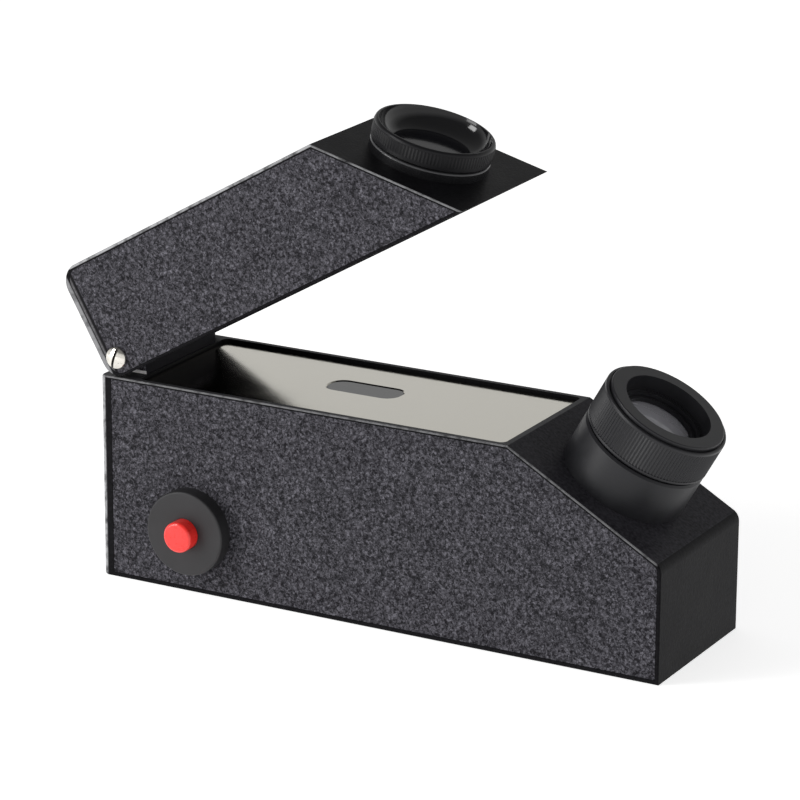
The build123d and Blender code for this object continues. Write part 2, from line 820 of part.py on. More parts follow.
with BuildPart() as lid_shell:
    with BuildSketch(lid_plane) as lid_side:
        with BuildLine():
            Polyline(*lid_outline(0, 0, 0, 0), close=True)
        make_face()
        round_lid_rear(lid_side, lid_swing, lid_rear_radius)
    extrude(amount=half_width, both=True)
    fillet(lid_shell.faces().filter_by(Axis.Y).edges(), edge_radius)
    with BuildSketch(lid_plane) as lid_hollow:
        with BuildLine():
            Polyline(*lid_outline(wall, wall, wall, 0), close=True)
        make_face()
        round_lid_rear(lid_hollow, lid_swing - wall, lid_rear_radius - wall)
    extrude(amount=inner_half_width, both=True, mode=Mode.SUBTRACT)
    with BuildSketch(lid_plane):
        with Locations((-lid_swing, -lid_swing)):
            Rectangle(
                2 * lid_swing,
                lid_swing + block_radius + hinge_notch_gap,
                align=(Align.CENTER, Align.MIN),
            )
    extrude(amount=boss_inner, both=True, mode=Mode.SUBTRACT)
    for side in (-1, 1):
        with BuildSketch(lid_plane.offset(side * boss_inner)):
            Circle(hinge_boss_radius)
        extrude(amount=side * (inner_half_width - boss_inner))
        with BuildSketch(lid_plane.offset(side * half_width)) as lid_rebate:
            with BuildLine():
                Polyline(
                    *lid_outline(
                        lid_panel_rear_margin,
                        lid_panel_top_margin,
                        panel_top_margin,
                        panel_top_margin,
                    ),
                    close=True,
                )
            make_face()
            round_lid_rear(
                lid_rebate,
                lid_swing - lid_panel_rear_margin,
                lid_rear_radius - lid_panel_rear_margin,
            )
        extrude(amount=-side * panel_thickness, mode=Mode.SUBTRACT)
    with BuildSketch(lid_plane):
        Circle(pivot_screw_radius + running_clearance)
    extrude(amount=half_width, both=True, mode=Mode.SUBTRACT)
    with BuildSketch(face_plane):
        Circle(socket_sleeve_radius + thread_clearance)
    extrude(amount=-through_cut, mode=Mode.SUBTRACT)


def build_lid_panel(side):
    """One textured sheet on the lid, flush with the shell around it."""
    margins = (
        lid_panel_rear_margin + panel_gap,
        lid_panel_top_margin + panel_gap,
        panel_top_margin + panel_gap,
        panel_top_margin + panel_gap,
    )
    with BuildPart() as panel:
        with BuildSketch(lid_plane.offset(side * half_width)) as outline:
            with BuildLine():
                Polyline(*lid_outline(*margins), close=True)
            make_face()
            round_lid_rear(outline, lid_swing - margins[0], lid_rear_radius - margins[0])
            Circle(pivot_screw_radius + running_clearance, mode=Mode.SUBTRACT)
        extrude(amount=-side * panel_thickness)
    return panel


lid_near_panel = build_lid_panel(1)
lid_far_panel = build_lid_panel(-1)

# Friction washers between the hinge block and the lid's inner bosses.
with BuildPart() as hinge_washers:
    for side in (-1, 1):
        with BuildSketch(pivot_plane.offset(side * (block_end + washer_play))):
            Circle(washer_radius)
            Circle(pivot_screw_radius + running_clearance, mode=Mode.SUBTRACT)
        extrude(amount=side * (hinge_boss_gap - 2 * washer_play))

# Filter socket: a flanged bush in the lid's sloping face.
with BuildPart() as filter_socket:
    with BuildSketch(face_plane):
        Circle(socket_flange_radius)
    extrude(amount=socket_flange_height)
    fillet(filter_socket.edges().sort_by(SortBy.DISTANCE)[-1], edge_radius)
    with BuildSketch(face_plane):
        Circle(socket_sleeve_radius)
    extrude(amount=-socket_sleeve_depth)
    with BuildSketch(face_plane.offset(socket_flange_height)):
        Circle(socket_bore)
    extrude(amount=-(socket_flange_height + socket_sleeve_depth), mode=Mode.SUBTRACT)

# Filter cap: a knurled ring with a dished mouth and a plug that fits the socket.
cap_foot = socket_flange_height + cap_groove
cap_top = cap_foot + cap_height
filter_top = cap_top - cap_dish_depth
filter_floor = filter_top - filter_thickness
filter_seat_radius = filter_radius + filter_seat_gap
face_section = section_plane(face_plane)
face_axis = axis_of(face_plane)


def knurl_outline(radius, count, depth):
    """Points of a straight knurl: ridges at the full radius, valleys between them."""
    step = 2 * pi / count
    points = []
    for tooth in range(count):
        ridge = tooth * step
        valley = ridge + step / 2
        points.append((radius * cos(ridge), radius * sin(ridge)))
        points.append(((radius - depth) * cos(valley), (radius - depth) * sin(valley)))
    return points


with BuildPart() as cap_ring:
    with BuildSketch(face_section) as cap_section:
        with BuildLine():
            Polyline(
                (filter_aperture_radius, cap_foot - cap_plug_length),
                (cap_plug_radius, cap_foot - cap_plug_length),
                (cap_plug_radius, cap_foot),
                (cap_radius - cap_knurl_depth, cap_foot),
                (cap_radius - cap_knurl_depth, cap_top),
                (cap_radius - cap_knurl_depth - cap_rim_width, cap_top),
            )
            SagittaArc(
                (cap_radius - cap_knurl_depth - cap_rim_width, cap_top),
                (filter_seat_radius, filter_top),
                cap_dish_sag,
            )
            Polyline(
                (filter_seat_radius, filter_top),
                (filter_seat_radius, filter_floor),
                (filter_aperture_radius, filter_floor),
                (filter_aperture_radius, cap_foot - cap_plug_length),
            )
        make_face()
        fillet(cap_section.vertices().group_by(Axis.Y)[-1].sort_by(Axis.X)[-1], cap_edge_radius)
    revolve(axis=face_axis)
    with BuildSketch(face_plane.offset(cap_foot + cap_knurl_margin)):
        Polygon(*knurl_outline(cap_radius, cap_knurl_count, cap_knurl_depth), align=None)
        Circle(cap_radius - 2 * cap_knurl_depth, mode=Mode.SUBTRACT)
    extrude(amount=cap_height - 2 * cap_knurl_margin)

with BuildPart() as cap_filter:
    with BuildSketch(face_plane.offset(filter_floor)):
        Circle(filter_radius)
    extrude(amount=filter_thickness)

# Eyepiece barrel: a wide foot on the slanted face, a neck for the ring, a threaded spigot below.
ring_foot = barrel_height + ring_gap
ring_top = ring_foot + ring_height
ring_face_top = ring_top + ring_face_rise
neck_top = barrel_height + neck_height
tube_bore = lens_tube_radius + lens_clearance
slant_section = section_plane(slant_plane)
slant_axis = axis_of(slant_plane)
with BuildPart() as eyepiece_barrel:
    with BuildSketch(slant_section):
        with BuildLine():
            Polyline(
                (tube_bore, -barrel_spigot_length),
                (barrel_spigot_radius, -barrel_spigot_length),
                (barrel_spigot_radius, 0),
                (barrel_radius, 0),
                (barrel_radius, barrel_height - barrel_edge),
                (barrel_radius - barrel_edge, barrel_height),
                (neck_radius, barrel_height),
                (neck_radius, neck_top),
                (tube_bore, neck_top),
                close=True,
            )
        make_face()
    revolve(axis=slant_axis)
    with BuildSketch(section_plane(slant_plane.offset(guide_screw_height))):
        Circle(guide_screw_radius)
    extrude(amount=-neck_radius, mode=Mode.SUBTRACT)

with BuildPart() as barrel_nut:
    with BuildSketch(slant_plane.offset(-wall)):
        Circle(barrel_nut_radius)
        Circle(barrel_spigot_radius + thread_clearance, mode=Mode.SUBTRACT)
    extrude(amount=-barrel_nut_thickness)

with BuildPart() as guide_screw:
    with BuildSketch(section_plane(slant_plane.offset(guide_screw_height))):
        Circle(guide_screw_radius)
    extrude(amount=-neck_radius)
    with BuildSketch(slant_plane):
        Circle(lens_tube_radius - lens_tube_wall)
    extrude(amount=ring_face_top, mode=Mode.SUBTRACT)

# Focus ring: knurled, turning on the barrel's neck. Inside its rim a groove runs round a flat
# face that stands proud, and the face has a deep mouth.
neck_bore = neck_radius + running_clearance
knurl_low = ring_foot + ring_knurl_foot_margin
knurl_high = ring_top - ring_knurl_top_margin
with BuildPart() as focus_ring:
    with BuildSketch(slant_section) as ring_section:
        with BuildLine():
            Polyline(
                (neck_bore, ring_foot),
                (ring_radius - ring_foot_chamfer, ring_foot),
                (ring_radius, ring_foot + ring_foot_chamfer),
                (ring_radius, knurl_low),
                (ring_radius - ring_knurl_depth, knurl_low),
                (ring_radius - ring_knurl_depth, knurl_high),
                (ring_radius, knurl_high),
                (ring_radius, ring_top),
                (ring_face_radius + ring_groove_width, ring_top),
                (ring_face_radius + ring_groove_width, ring_top - ring_groove_depth),
                (ring_face_radius, ring_top - ring_groove_depth),
                (ring_face_radius, ring_face_top),
                (ring_mouth_radius, ring_face_top),
                (ring_mouth_radius, ring_face_top - ring_mouth_depth),
                (tube_bore, ring_face_top - ring_mouth_depth),
                (tube_bore, neck_top + ring_shoulder_gap),
                (neck_bore, neck_top + ring_shoulder_gap),
                close=True,
            )
        make_face()
        rim_corner = ring_section.vertices().group_by(Axis.X)[-1].sort_by(Axis.Y)[-1]
        fillet(rim_corner, ring_edge_radius)
        face_corner = ring_section.vertices().group_by(Axis.Y)[-1].sort_by(Axis.X)[-1]
        fillet(face_corner, ring_face_edge_radius)
    revolve(axis=slant_axis)
    with BuildSketch(slant_plane.offset(knurl_low)):
        Polygon(*knurl_outline(ring_radius, ring_knurl_count, ring_knurl_depth), align=None)
        Circle(ring_radius - 2 * ring_knurl_depth, mode=Mode.SUBTRACT)
    extrude(amount=knurl_high - knurl_low)

# Lens tube: slides in the barrel, kept from turning by the guide screw in its slot.
tube_top = ring_face_top - lens_tube_drop
lens_seat = tube_top - lens_seat_depth
field_seat = lens_tube_foot + lens_seat_depth
seat_bore = lens_tube_radius - lens_tube_wall
with BuildPart() as lens_tube:
    with BuildSketch(slant_section):
        with BuildLine():
            Polyline(
                (seat_bore, lens_tube_foot),
                (lens_tube_radius, lens_tube_foot),
                (lens_tube_radius, tube_top),
                (seat_bore, tube_top),
                (seat_bore, lens_seat),
                (lens_stop_radius, lens_seat),
                (lens_stop_radius, field_seat),
                (seat_bore, field_seat),
                close=True,
            )
        make_face()
    revolve(axis=slant_axis)
    with BuildSketch(section_plane(slant_plane.offset(guide_screw_height))):
        SlotCenterToCenter(
            2 * focus_travel, 2 * (guide_screw_radius + guide_slot_gap), rotation=90
        )
    extrude(amount=-2 * lens_tube_radius, mode=Mode.SUBTRACT)

lens_radius = seat_bore - lens_clearance
seat_rise = lens_rise(lens_radius, lens_sag, lens_stop_radius) + lens_seat_gap
ring_rise = lens_rise(lens_radius, lens_sag, lens_ring_radius) + lens_seat_gap
eye_lens_foot = lens_seat + seat_rise
field_lens_foot = field_seat - seat_rise - lens_edge_thickness
eye_lens = build_lens(
    slant_plane.offset(eye_lens_foot), lens_radius, lens_edge_thickness, lens_sag
)
field_lens = build_lens(
    slant_plane.offset(field_lens_foot), lens_radius, lens_edge_thickness, lens_sag
)

with BuildPart() as eyepiece_lens_rings:
    for ring_start in (
        eye_lens_foot + lens_edge_thickness + ring_rise,
        field_lens_foot - ring_rise - lens_ring_thickness,
    ):
        with BuildSketch(slant_plane.offset(ring_start)):
            Circle(lens_radius)
            Circle(lens_ring_radius, mode=Mode.SUBTRACT)
        extrude(amount=lens_ring_thickness)

nodes = {
    "body_housing": body_housing,
    "near_side_panel": near_side_panel,
    "far_side_panel": far_side_panel,
    "stage_plate": stage_plate,
    "stage_glass": stage_glass,
    "prism_mount": prism_mount,
    "lamp_tube": lamp_tube,
    "colour_filter": colour_filter,
    "lamp": lamp,
    "lamp_hanger": lamp_hanger,
    "relay_tube": relay_tube,
    "relay_lens": relay_lens,
    "scale_disc": scale_disc,
    "relay_retaining_rings": relay_retaining_rings,
    "relay_hanger": relay_hanger,
    "beam_mirror": beam_mirror,
    "mirror_wedge": mirror_wedge,
    "base_cover": base_cover,
    "base_cover_screws": base_cover_screws,
    "battery_tray": battery_tray,
    "batteries": batteries,
    "battery_contacts": battery_contacts,
    "switch_bezel": switch_bezel,
    "switch_body": switch_body,
    "switch_nut": switch_nut,
    "push_button": push_button,
    "button_spring": button_spring,
    "hinge_block": hinge_block,
    "hinge_block_screws": hinge_block_screws,
    "hinge_screws": hinge_screws,
    "hinge_washers": hinge_washers,
    "lid_shell": lid_shell,
    "lid_near_panel": lid_near_panel,
    "lid_far_panel": lid_far_panel,
    "filter_socket": filter_socket,
    "cap_ring": cap_ring,
    "cap_filter": cap_filter,
    "eyepiece_barrel": eyepiece_barrel,
    "barrel_nut": barrel_nut,
    "guide_screw": guide_screw,
    "focus_ring": focus_ring,
    "lens_tube": lens_tube,
    "eye_lens": eye_lens,
    "field_lens": field_lens,
    "eyepiece_lens_rings": eyepiece_lens_rings,
}

os.makedirs("parts", exist_ok=True)
for name, builder in nodes.items():
    builder.part.label = name
    export_step(builder.part, f"parts/{name}.step")
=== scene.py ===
"""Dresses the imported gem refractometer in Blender: finishes, fine pieces, studio and camera."""

from __future__ import annotations

import logging
from dataclasses import dataclass, field
from enum import Enum
from math import cos, radians, sin
from typing import Any, Sequence

import bpy
from mathutils import Matrix, Vector

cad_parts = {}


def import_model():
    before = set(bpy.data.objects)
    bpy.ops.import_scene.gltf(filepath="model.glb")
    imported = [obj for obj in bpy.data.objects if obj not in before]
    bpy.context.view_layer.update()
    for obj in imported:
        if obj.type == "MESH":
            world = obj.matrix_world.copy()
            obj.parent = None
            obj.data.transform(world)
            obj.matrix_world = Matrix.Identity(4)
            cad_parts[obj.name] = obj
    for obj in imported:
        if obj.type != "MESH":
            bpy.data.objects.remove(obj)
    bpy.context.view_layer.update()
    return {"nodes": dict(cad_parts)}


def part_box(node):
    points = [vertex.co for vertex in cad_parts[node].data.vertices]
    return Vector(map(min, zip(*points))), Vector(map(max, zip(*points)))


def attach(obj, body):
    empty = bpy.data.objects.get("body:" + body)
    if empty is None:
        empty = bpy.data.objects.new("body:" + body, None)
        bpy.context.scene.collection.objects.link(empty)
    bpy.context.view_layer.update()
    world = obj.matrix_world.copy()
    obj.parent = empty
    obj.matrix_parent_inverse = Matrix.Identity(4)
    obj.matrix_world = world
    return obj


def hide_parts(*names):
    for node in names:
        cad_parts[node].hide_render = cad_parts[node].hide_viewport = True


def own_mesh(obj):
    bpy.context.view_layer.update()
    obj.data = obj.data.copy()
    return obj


LOG = logging.getLogger("refractometer")
MM = 0.001

Colour = tuple[float, float, float]
Place = tuple[float, float, float]
Span = tuple[float, float]


@dataclass(frozen=True)
class Grain:
    """One noise pattern: the size of its blotches, in metres, and how it is worked up."""

    size: float
    detail: float = 2.0
    roughness: float = 0.5
    twist: float = 0.0


@dataclass(frozen=True)
class Face:
    """A plane of the finished part at rest: a point on it, in metres, and where it looks."""

    point: Place
    direction: Place


@dataclass(frozen=True)
class Rim:
    """A long edge with a pale band that is painted highlight and wear of the coat: how deep it
    reaches from a face and how strong it is.
    """

    face: Face
    depth: float
    share: float


# The middle of a noise, where most of its values lie.
EVEN_SPAN: Span = (0.3, 0.7)
# Fine dust, which mouldings and castings carry alike.
DUST = Grain(0.16 * MM, 1.0)
DUST_SPAN: Span = (0.70, 0.80)

# Faces and places of the part that the finishes are measured from.
EYEPIECE_FACE = Face((0.054877, 0.0, 0.039963), (0.494954, 0.0, 0.868919))
CAP_FACE = Face((0.002951, 0.0, 0.109951), (0.258819, 0.0, 0.965926))
LID_TOP = Face((-0.0823, 0.0, 0.077304), (-0.5, 0.0, 0.866025))
LID_REAR = Face((-0.073984, 0.0, 0.0537), (-0.866025, 0.0, -0.5))
BODY_HEIGHT = 51.0 * MM
BODY_TOP = Face((0.0, 0.0, BODY_HEIGHT), (0.0, 0.0, 1.0))
BODY_REAR = Face((-75.0 * MM, 0.0, 0.0), (-1.0, 0.0, 0.0))
HINGE_PIVOT: Place = (-70.0 * MM, 0.0, 56.0 * MM)
# The hinge screws' slots: their lean in degrees, and their width.
SLOT_TURN = -17.0
SLOT_WIDTH = 0.62 * MM


def shades(
    colour: Colour, factors: tuple[float, float], lift: float = 0.0
) -> tuple[Colour, Colour]:
    """A darker and a lighter shade of a colour, for mottling.

    Args:
        colour: The middle colour.
        factors: Factors of the darker and of the lighter shade.
        lift: What the lighter shade gains besides.

    Returns:
        The darker and the lighter shade.
    """
    darker, lighter = factors
    return (
        tuple(part * darker for part in colour),
        tuple(min(1.0, part * lighter + lift) for part in colour),
    )


class Signal:
    """One socket of a node tree. Arithmetic on signals adds the Math nodes that work it out."""

    def __init__(self, tree: bpy.types.NodeTree, socket: bpy.types.NodeSocket) -> None:
        """Keep the tree and the output socket that carries the value."""
        self.tree = tree
        self.socket = socket

    def _maths(self, operation: str, *values: Signal | float, clamp: bool = False) -> Signal:
        """Add one Math node.

        Args:
            operation: The Math node's operation.
            values: Signals or numbers for its inputs, in order.
            clamp: Whether the result is held between nought and one.

        Returns:
            The node's result.
        """
        node = self.tree.nodes.new("ShaderNodeMath")
        node.operation = operation
        node.use_clamp = clamp
        for place, value in enumerate(values):
            if isinstance(value, Signal):
                self.tree.links.new(value.socket, node.inputs[place])
            else:
                node.inputs[place].default_value = value
        return Signal(self.tree, node.outputs[0])

    def __add__(self, other: Signal | float) -> Signal:
        """Sum of two values."""
        return self._maths("ADD", self, other)

    def __radd__(self, other: float) -> Signal:
        """Sum with a number on the left."""
        return self._maths("ADD", other, self)

    def __sub__(self, other: Signal | float) -> Signal:
        """Difference of two values."""
        return self._maths("SUBTRACT", self, other)

    def __rsub__(self, other: float) -> Signal:
        """Difference with a number on the left."""
        return self._maths("SUBTRACT", other, self)

    def __mul__(self, other: Signal | float) -> Signal:
        """Product of two values."""
        return self._maths("MULTIPLY", self, other)

    def __pow__(self, other: Signal | float) -> Signal:
        """Power of a value."""
        return self._maths("POWER", self, other)

    def held(self) -> Signal:
        """The value held between nought and one."""
        return self._maths("ADD", self, 0.0, clamp=True)

    def between(self, low: float, high: float) -> Signal:
        """The value rescaled so that low gives nought and high gives one, and held there."""
        return ((self - low) * (1.0 / (high - low))).held()

    def apart(self) -> Signal:
        """The value without its sign."""
        return self._maths("ABSOLUTE", self)

    def swing(self) -> Signal:
        """How far a noise's value is from its middle."""
        return self - 0.5


class Recipe:
    """One material under construction, with its Principled surface shader."""

    def __init__(self, name: str) -> None:
        """Start an empty material.

        Args:
            name: The material's name.
        """
        self.material = bpy.data.materials.new(name)
        self.material.use_nodes = True
        self.tree = self.material.node_tree
        self.tree.nodes.clear()
        self.surface = self.tree.nodes.new("ShaderNodeBsdfPrincipled")
        output = self.tree.nodes.new("ShaderNodeOutputMaterial")
        self.tree.links.new(self.surface.outputs[0], output.inputs["Surface"])

    def node(
        self,
        kind: str,
        settings: dict[str, Any] | None = None,
        inputs: dict[str | int, Any] | None = None,
        output: str | int = 0,
    ) -> Signal:
        """Add one node.

        Args:
            kind: The node's type.
            settings: Its own settings, set before its sockets.
            inputs: Values or signals for its sockets.
            output: The output socket that is wanted.

        Returns:
            The signal of that output.
        """
        node = self.tree.nodes.new(kind)
        for key, value in (settings or {}).items():
            setattr(node, key, value)
        for key, value in (inputs or {}).items():
            if isinstance(value, Signal):
                self.tree.links.new(value.socket, node.inputs[key])
            else:
                node.inputs[key].default_value = value
        return Signal(self.tree, node.outputs[output])

    def place(self) -> Signal:
        """The surface point in the object's own coordinates, in metres."""
        return self.node("ShaderNodeTexCoord", output="Object")

    def turned(self, face: Face) -> Signal:
        """The surface point in a frame that stands on a face and looks its way.

        Args:
            face: The face, on which the frame has its origin.

        Returns:
            The point, with its Z along the face's direction.
        """
        turn = Vector(face.direction).to_track_quat("Z", "Y").inverted().to_euler()
        moved = turn.to_matrix() @ Vector(face.point)
        return self.node(
            "ShaderNodeMapping",
            inputs={"Vector": self.place(), "Rotation": turn, "Location": -moved},
        )

    def above(self, face: Face) -> Signal:
        """Height of the surface point over a face, in metres."""
        _, _, height = self.parts(self.turned(face))
        return height

    def stretched(self, scale: Sequence[float]) -> Signal:
        """The surface point with its axes scaled, for grain that runs one way."""
        return self.node("ShaderNodeMapping", inputs={"Vector": self.place(), "Scale": scale})

    def parts(self, vector: Signal) -> tuple[Signal, Signal, Signal]:
        """Take a vector apart.

        Args:
            vector: The vector.

        Returns:
            Its X, Y and Z.
        """
        node = self.tree.nodes.new("ShaderNodeSeparateXYZ")
        self.tree.links.new(vector.socket, node.inputs[0])
        return tuple(Signal(self.tree, part) for part in node.outputs)

    def noise(self, grain: Grain, place: Signal | None = None) -> Signal:
        """Soft random pattern.

        Args:
            grain: The pattern.
            place: The point to read, or the surface point.

        Returns:
            A value around a half.
        """
        return self.node(
            "ShaderNodeTexNoise",
            inputs={
                "Vector": place or self.place(),
                "Scale": 1.0 / grain.size,
                "Detail": grain.detail,
                "Roughness": grain.roughness,
                "Distortion": grain.twist,
            },
        )

    def cells(self, size: float) -> Signal:
        """Distance from the middle of the nearest grain of a crinkle finish."""
        return self.node(
            "ShaderNodeTexVoronoi",
            {"feature": "SMOOTH_F1"},
            {"Vector": self.place(), "Scale": 1.0 / size},
        )

    def blend(self, share: Signal, low: Colour | Signal, high: Colour | Signal) -> Signal:
        """Colour between two colours.

        Args:
            share: How much of the high colour shows, from nought to one.
            low: The colour at nought.
            high: The colour at one.

        Returns:
            The mixed colour.
        """
        node = self.tree.nodes.new("ShaderNodeMix")
        node.data_type = "RGBA"
        self.tree.links.new(share.socket, node.inputs[0])
        for socket, colour in ((node.inputs[6], low), (node.inputs[7], high)):
            if isinstance(colour, Signal):
                self.tree.links.new(colour.socket, socket)
            else:
                socket.default_value = (*colour, 1.0)
        return Signal(self.tree, node.outputs[2])

    def raised(self, height: Signal, depth: float) -> Signal:
        """Normal of a surface raised by a height, given as a share of a depth in metres."""
        return self.node(
            "ShaderNodeBump", inputs={"Height": height, "Distance": depth, "Strength": 1.0}
        )

    def finish(self, **sockets: Any) -> bpy.types.Material:
        """Feed the surface shader.

        Args:
            sockets: Values or signals by socket, with underscores for spaces.

        Returns:
            The finished material.
        """
        for key, value in sockets.items():
            name = key.replace("_", " ").title().replace("Ior", "IOR")
            socket = self.surface.inputs[name]
            if isinstance(value, Signal):
                self.tree.links.new(value.socket, socket)
            elif isinstance(value, tuple) and len(value) == 3:
                socket.default_value = (*value, 1.0)
            else:
                socket.default_value = value
        return self.material


@dataclass(frozen=True)
class CrinkleSkin:
    """Charcoal crinkle finish of the textured sides, with pale specks on its ridges.

    A border is the distance from a face over which the finish is left smooth: a pale strip along
    the edge, which is a painted highlight of the rounded edge, then a dark pressed line where the
    crinkle starts.
    """

    name: str = "crinkle_skin"
    valley: Colour = (0.0075, 0.0072, 0.009)
    ridge: Colour = (0.156, 0.151, 0.174)
    crinkle: Grain = Grain(0.64 * MM, 1.5, 0.55, 1.2)
    cell_size: float = 0.736 * MM
    cell_share: float = 0.25
    warp: Grain = Grain(1.536 * MM)
    warp_share: float = 0.2
    speck_span: Span = (0.32, 0.74)
    speck_power: float = 2.0
    tone: Grain = Grain(14 * MM)
    tone_base: float = 0.82
    tone_swing: float = 0.36
    depth: float = 0.15 * MM
    roughness: float = 0.52
    roughness_swing: float = 0.25
    gleam: float = 0.07
    border_face: Face | None = None
    border: float = 3.2 * MM
    border_softness: float = 0.1 * MM
    border_press: float = 0.8
    groove: Span = (0.7 * MM, 1.05 * MM)
    smooth: Colour = (0.0075, 0.0072, 0.0085)
    # painted highlight: pale colour of the strip along the rounded edge
    highlight_and_wear: Colour = (0.115, 0.113, 0.118)
    highlight_base: float = 0.6
    highlight_swing: float = 0.8

    def make(self) -> bpy.types.Material:
        """Build the material.

        Returns:
            The finished material.
        """
        recipe = Recipe(self.name)
        warp = recipe.noise(self.warp).swing() * self.warp_share
        crinkle = recipe.noise(self.crinkle)
        cells = (1.0 - recipe.cells(self.cell_size)) * self.cell_share
        height = (crinkle * (1.0 - self.cell_share) + cells + warp).held()
        speck = height.between(*self.speck_span) ** self.speck_power
        tone = self.tone_base + recipe.noise(self.tone) * self.tone_swing
        colour = recipe.blend((speck * tone).held(), self.valley, self.ridge)
        if self.border_face:
            over = recipe.above(self.border_face) + self.border
            outside = over.between(0.0, self.border_softness)
            # painted highlight: a pale strip along the rounded edge, broken up by the crinkle
            # specks
            highlight_strip = over.between(*self.groove) * (self.highlight_base + speck * self.highlight_swing)
            colour = recipe.blend(outside, colour, self.smooth)
            colour = recipe.blend(highlight_strip, colour, self.highlight_and_wear)
            height = height * (1.0 - outside * self.border_press)
        return recipe.finish(
            base_color=colour,
            roughness=self.roughness - crinkle.swing() * self.roughness_swing,
            specular_ior_level=self.gleam,
            normal=recipe.raised(height, self.depth),
        )


@dataclass(frozen=True)
class HingeBlockSkin:
    """Crinkle on the hinge block's two cheeks, smooth dark fronts and a painted highlight along
    the foot edge.
    """

    name: str
    front: float
    foot: float
    skin: CrinkleSkin = CrinkleSkin()
    speck_span: Span = (0.36, 0.68)
    front_start: Span = (0.3 * MM, 0.1 * MM)
    smooth: Colour = (0.009, 0.0088, 0.0115)
    mottle: Grain = Grain(6 * MM, 3.0, 0.6, 0.5)
    mottle_factors: tuple[float, float] = (1.0, 1.3)
    # painted highlight along the foot edge
    bright: Colour = (0.92, 0.91, 0.90)
    edge: Span = (0.7 * MM, 0.8 * MM)
    roughness_swing: float = 0.2

    def make(self) -> bpy.types.Material:
        """Build the material.

        Returns:
            The finished material.
        """
        recipe = Recipe(self.name)
        crinkle = recipe.noise(self.skin.crinkle)
        speck = crinkle.between(*self.speck_span) ** self.skin.speck_power
        mottle = recipe.noise(self.mottle).between(*EVEN_SPAN)
        along, _, up = recipe.parts(recipe.place())
        front = along.between(*(self.front - start for start in self.front_start))
        cheek = 1.0 - front
        foot = (1.0 - up.between(*(self.foot + end for end in self.edge))) * cheek
        colour = recipe.blend(speck, self.skin.valley, self.skin.ridge)
        plain = recipe.blend(mottle, *shades(self.smooth, self.mottle_factors))
        colour = recipe.blend(front, colour, plain)
        # painted highlight: a near-white band along the foot of the cheeks
        colour = recipe.blend(foot, colour, self.bright)
        return recipe.finish(
            base_color=colour,
            roughness=self.skin.roughness - crinkle.swing() * self.roughness_swing,
            specular_ior_level=self.skin.gleam,
            normal=recipe.raised(crinkle * cheek, self.skin.depth),
        )


@dataclass(frozen=True)
class MouldedPlastic:
    """Smooth dark moulding with a faint orange peel, soft mottling and fine dust."""

    name: str
    colour: Colour
    roughness: float = 0.42
    coat: float = 0.0
    gleam: float = 0.30
    factors: tuple[float, float] = (0.86, 1.16)
    lift: float = 0.001
    mottle: Grain = Grain(11 * MM, 4.0, 0.6, 0.6)
    mottle_roughness: float = 0.16
    dust_share: float = 0.5
    dust_roughness: float = 0.15
    dust_bump: float = 0.2
    peel: Grain = Grain(0.9 * MM, 3.0, 0.6)
    peel_depth: float = 0.012 * MM

    def make(self) -> bpy.types.Material:
        """Build the material.

        Returns:
            The finished material.
        """
        recipe = Recipe(self.name)
        peel = recipe.noise(self.peel)
        mottle = recipe.noise(self.mottle)
        dust = recipe.noise(DUST).between(*DUST_SPAN)
        share = (mottle.between(*EVEN_SPAN) + dust * self.dust_share).held()
        uneven = mottle.swing() * self.mottle_roughness + dust * self.dust_roughness
        height = peel * (1.0 - self.dust_bump) + dust * self.dust_bump
        return recipe.finish(
            base_color=recipe.blend(share, *shades(self.colour, self.factors, self.lift)),
            roughness=self.roughness + uneven,
            specular_ior_level=self.gleam,
            coat_weight=self.coat,
            normal=recipe.raised(height, self.peel_depth),
        )


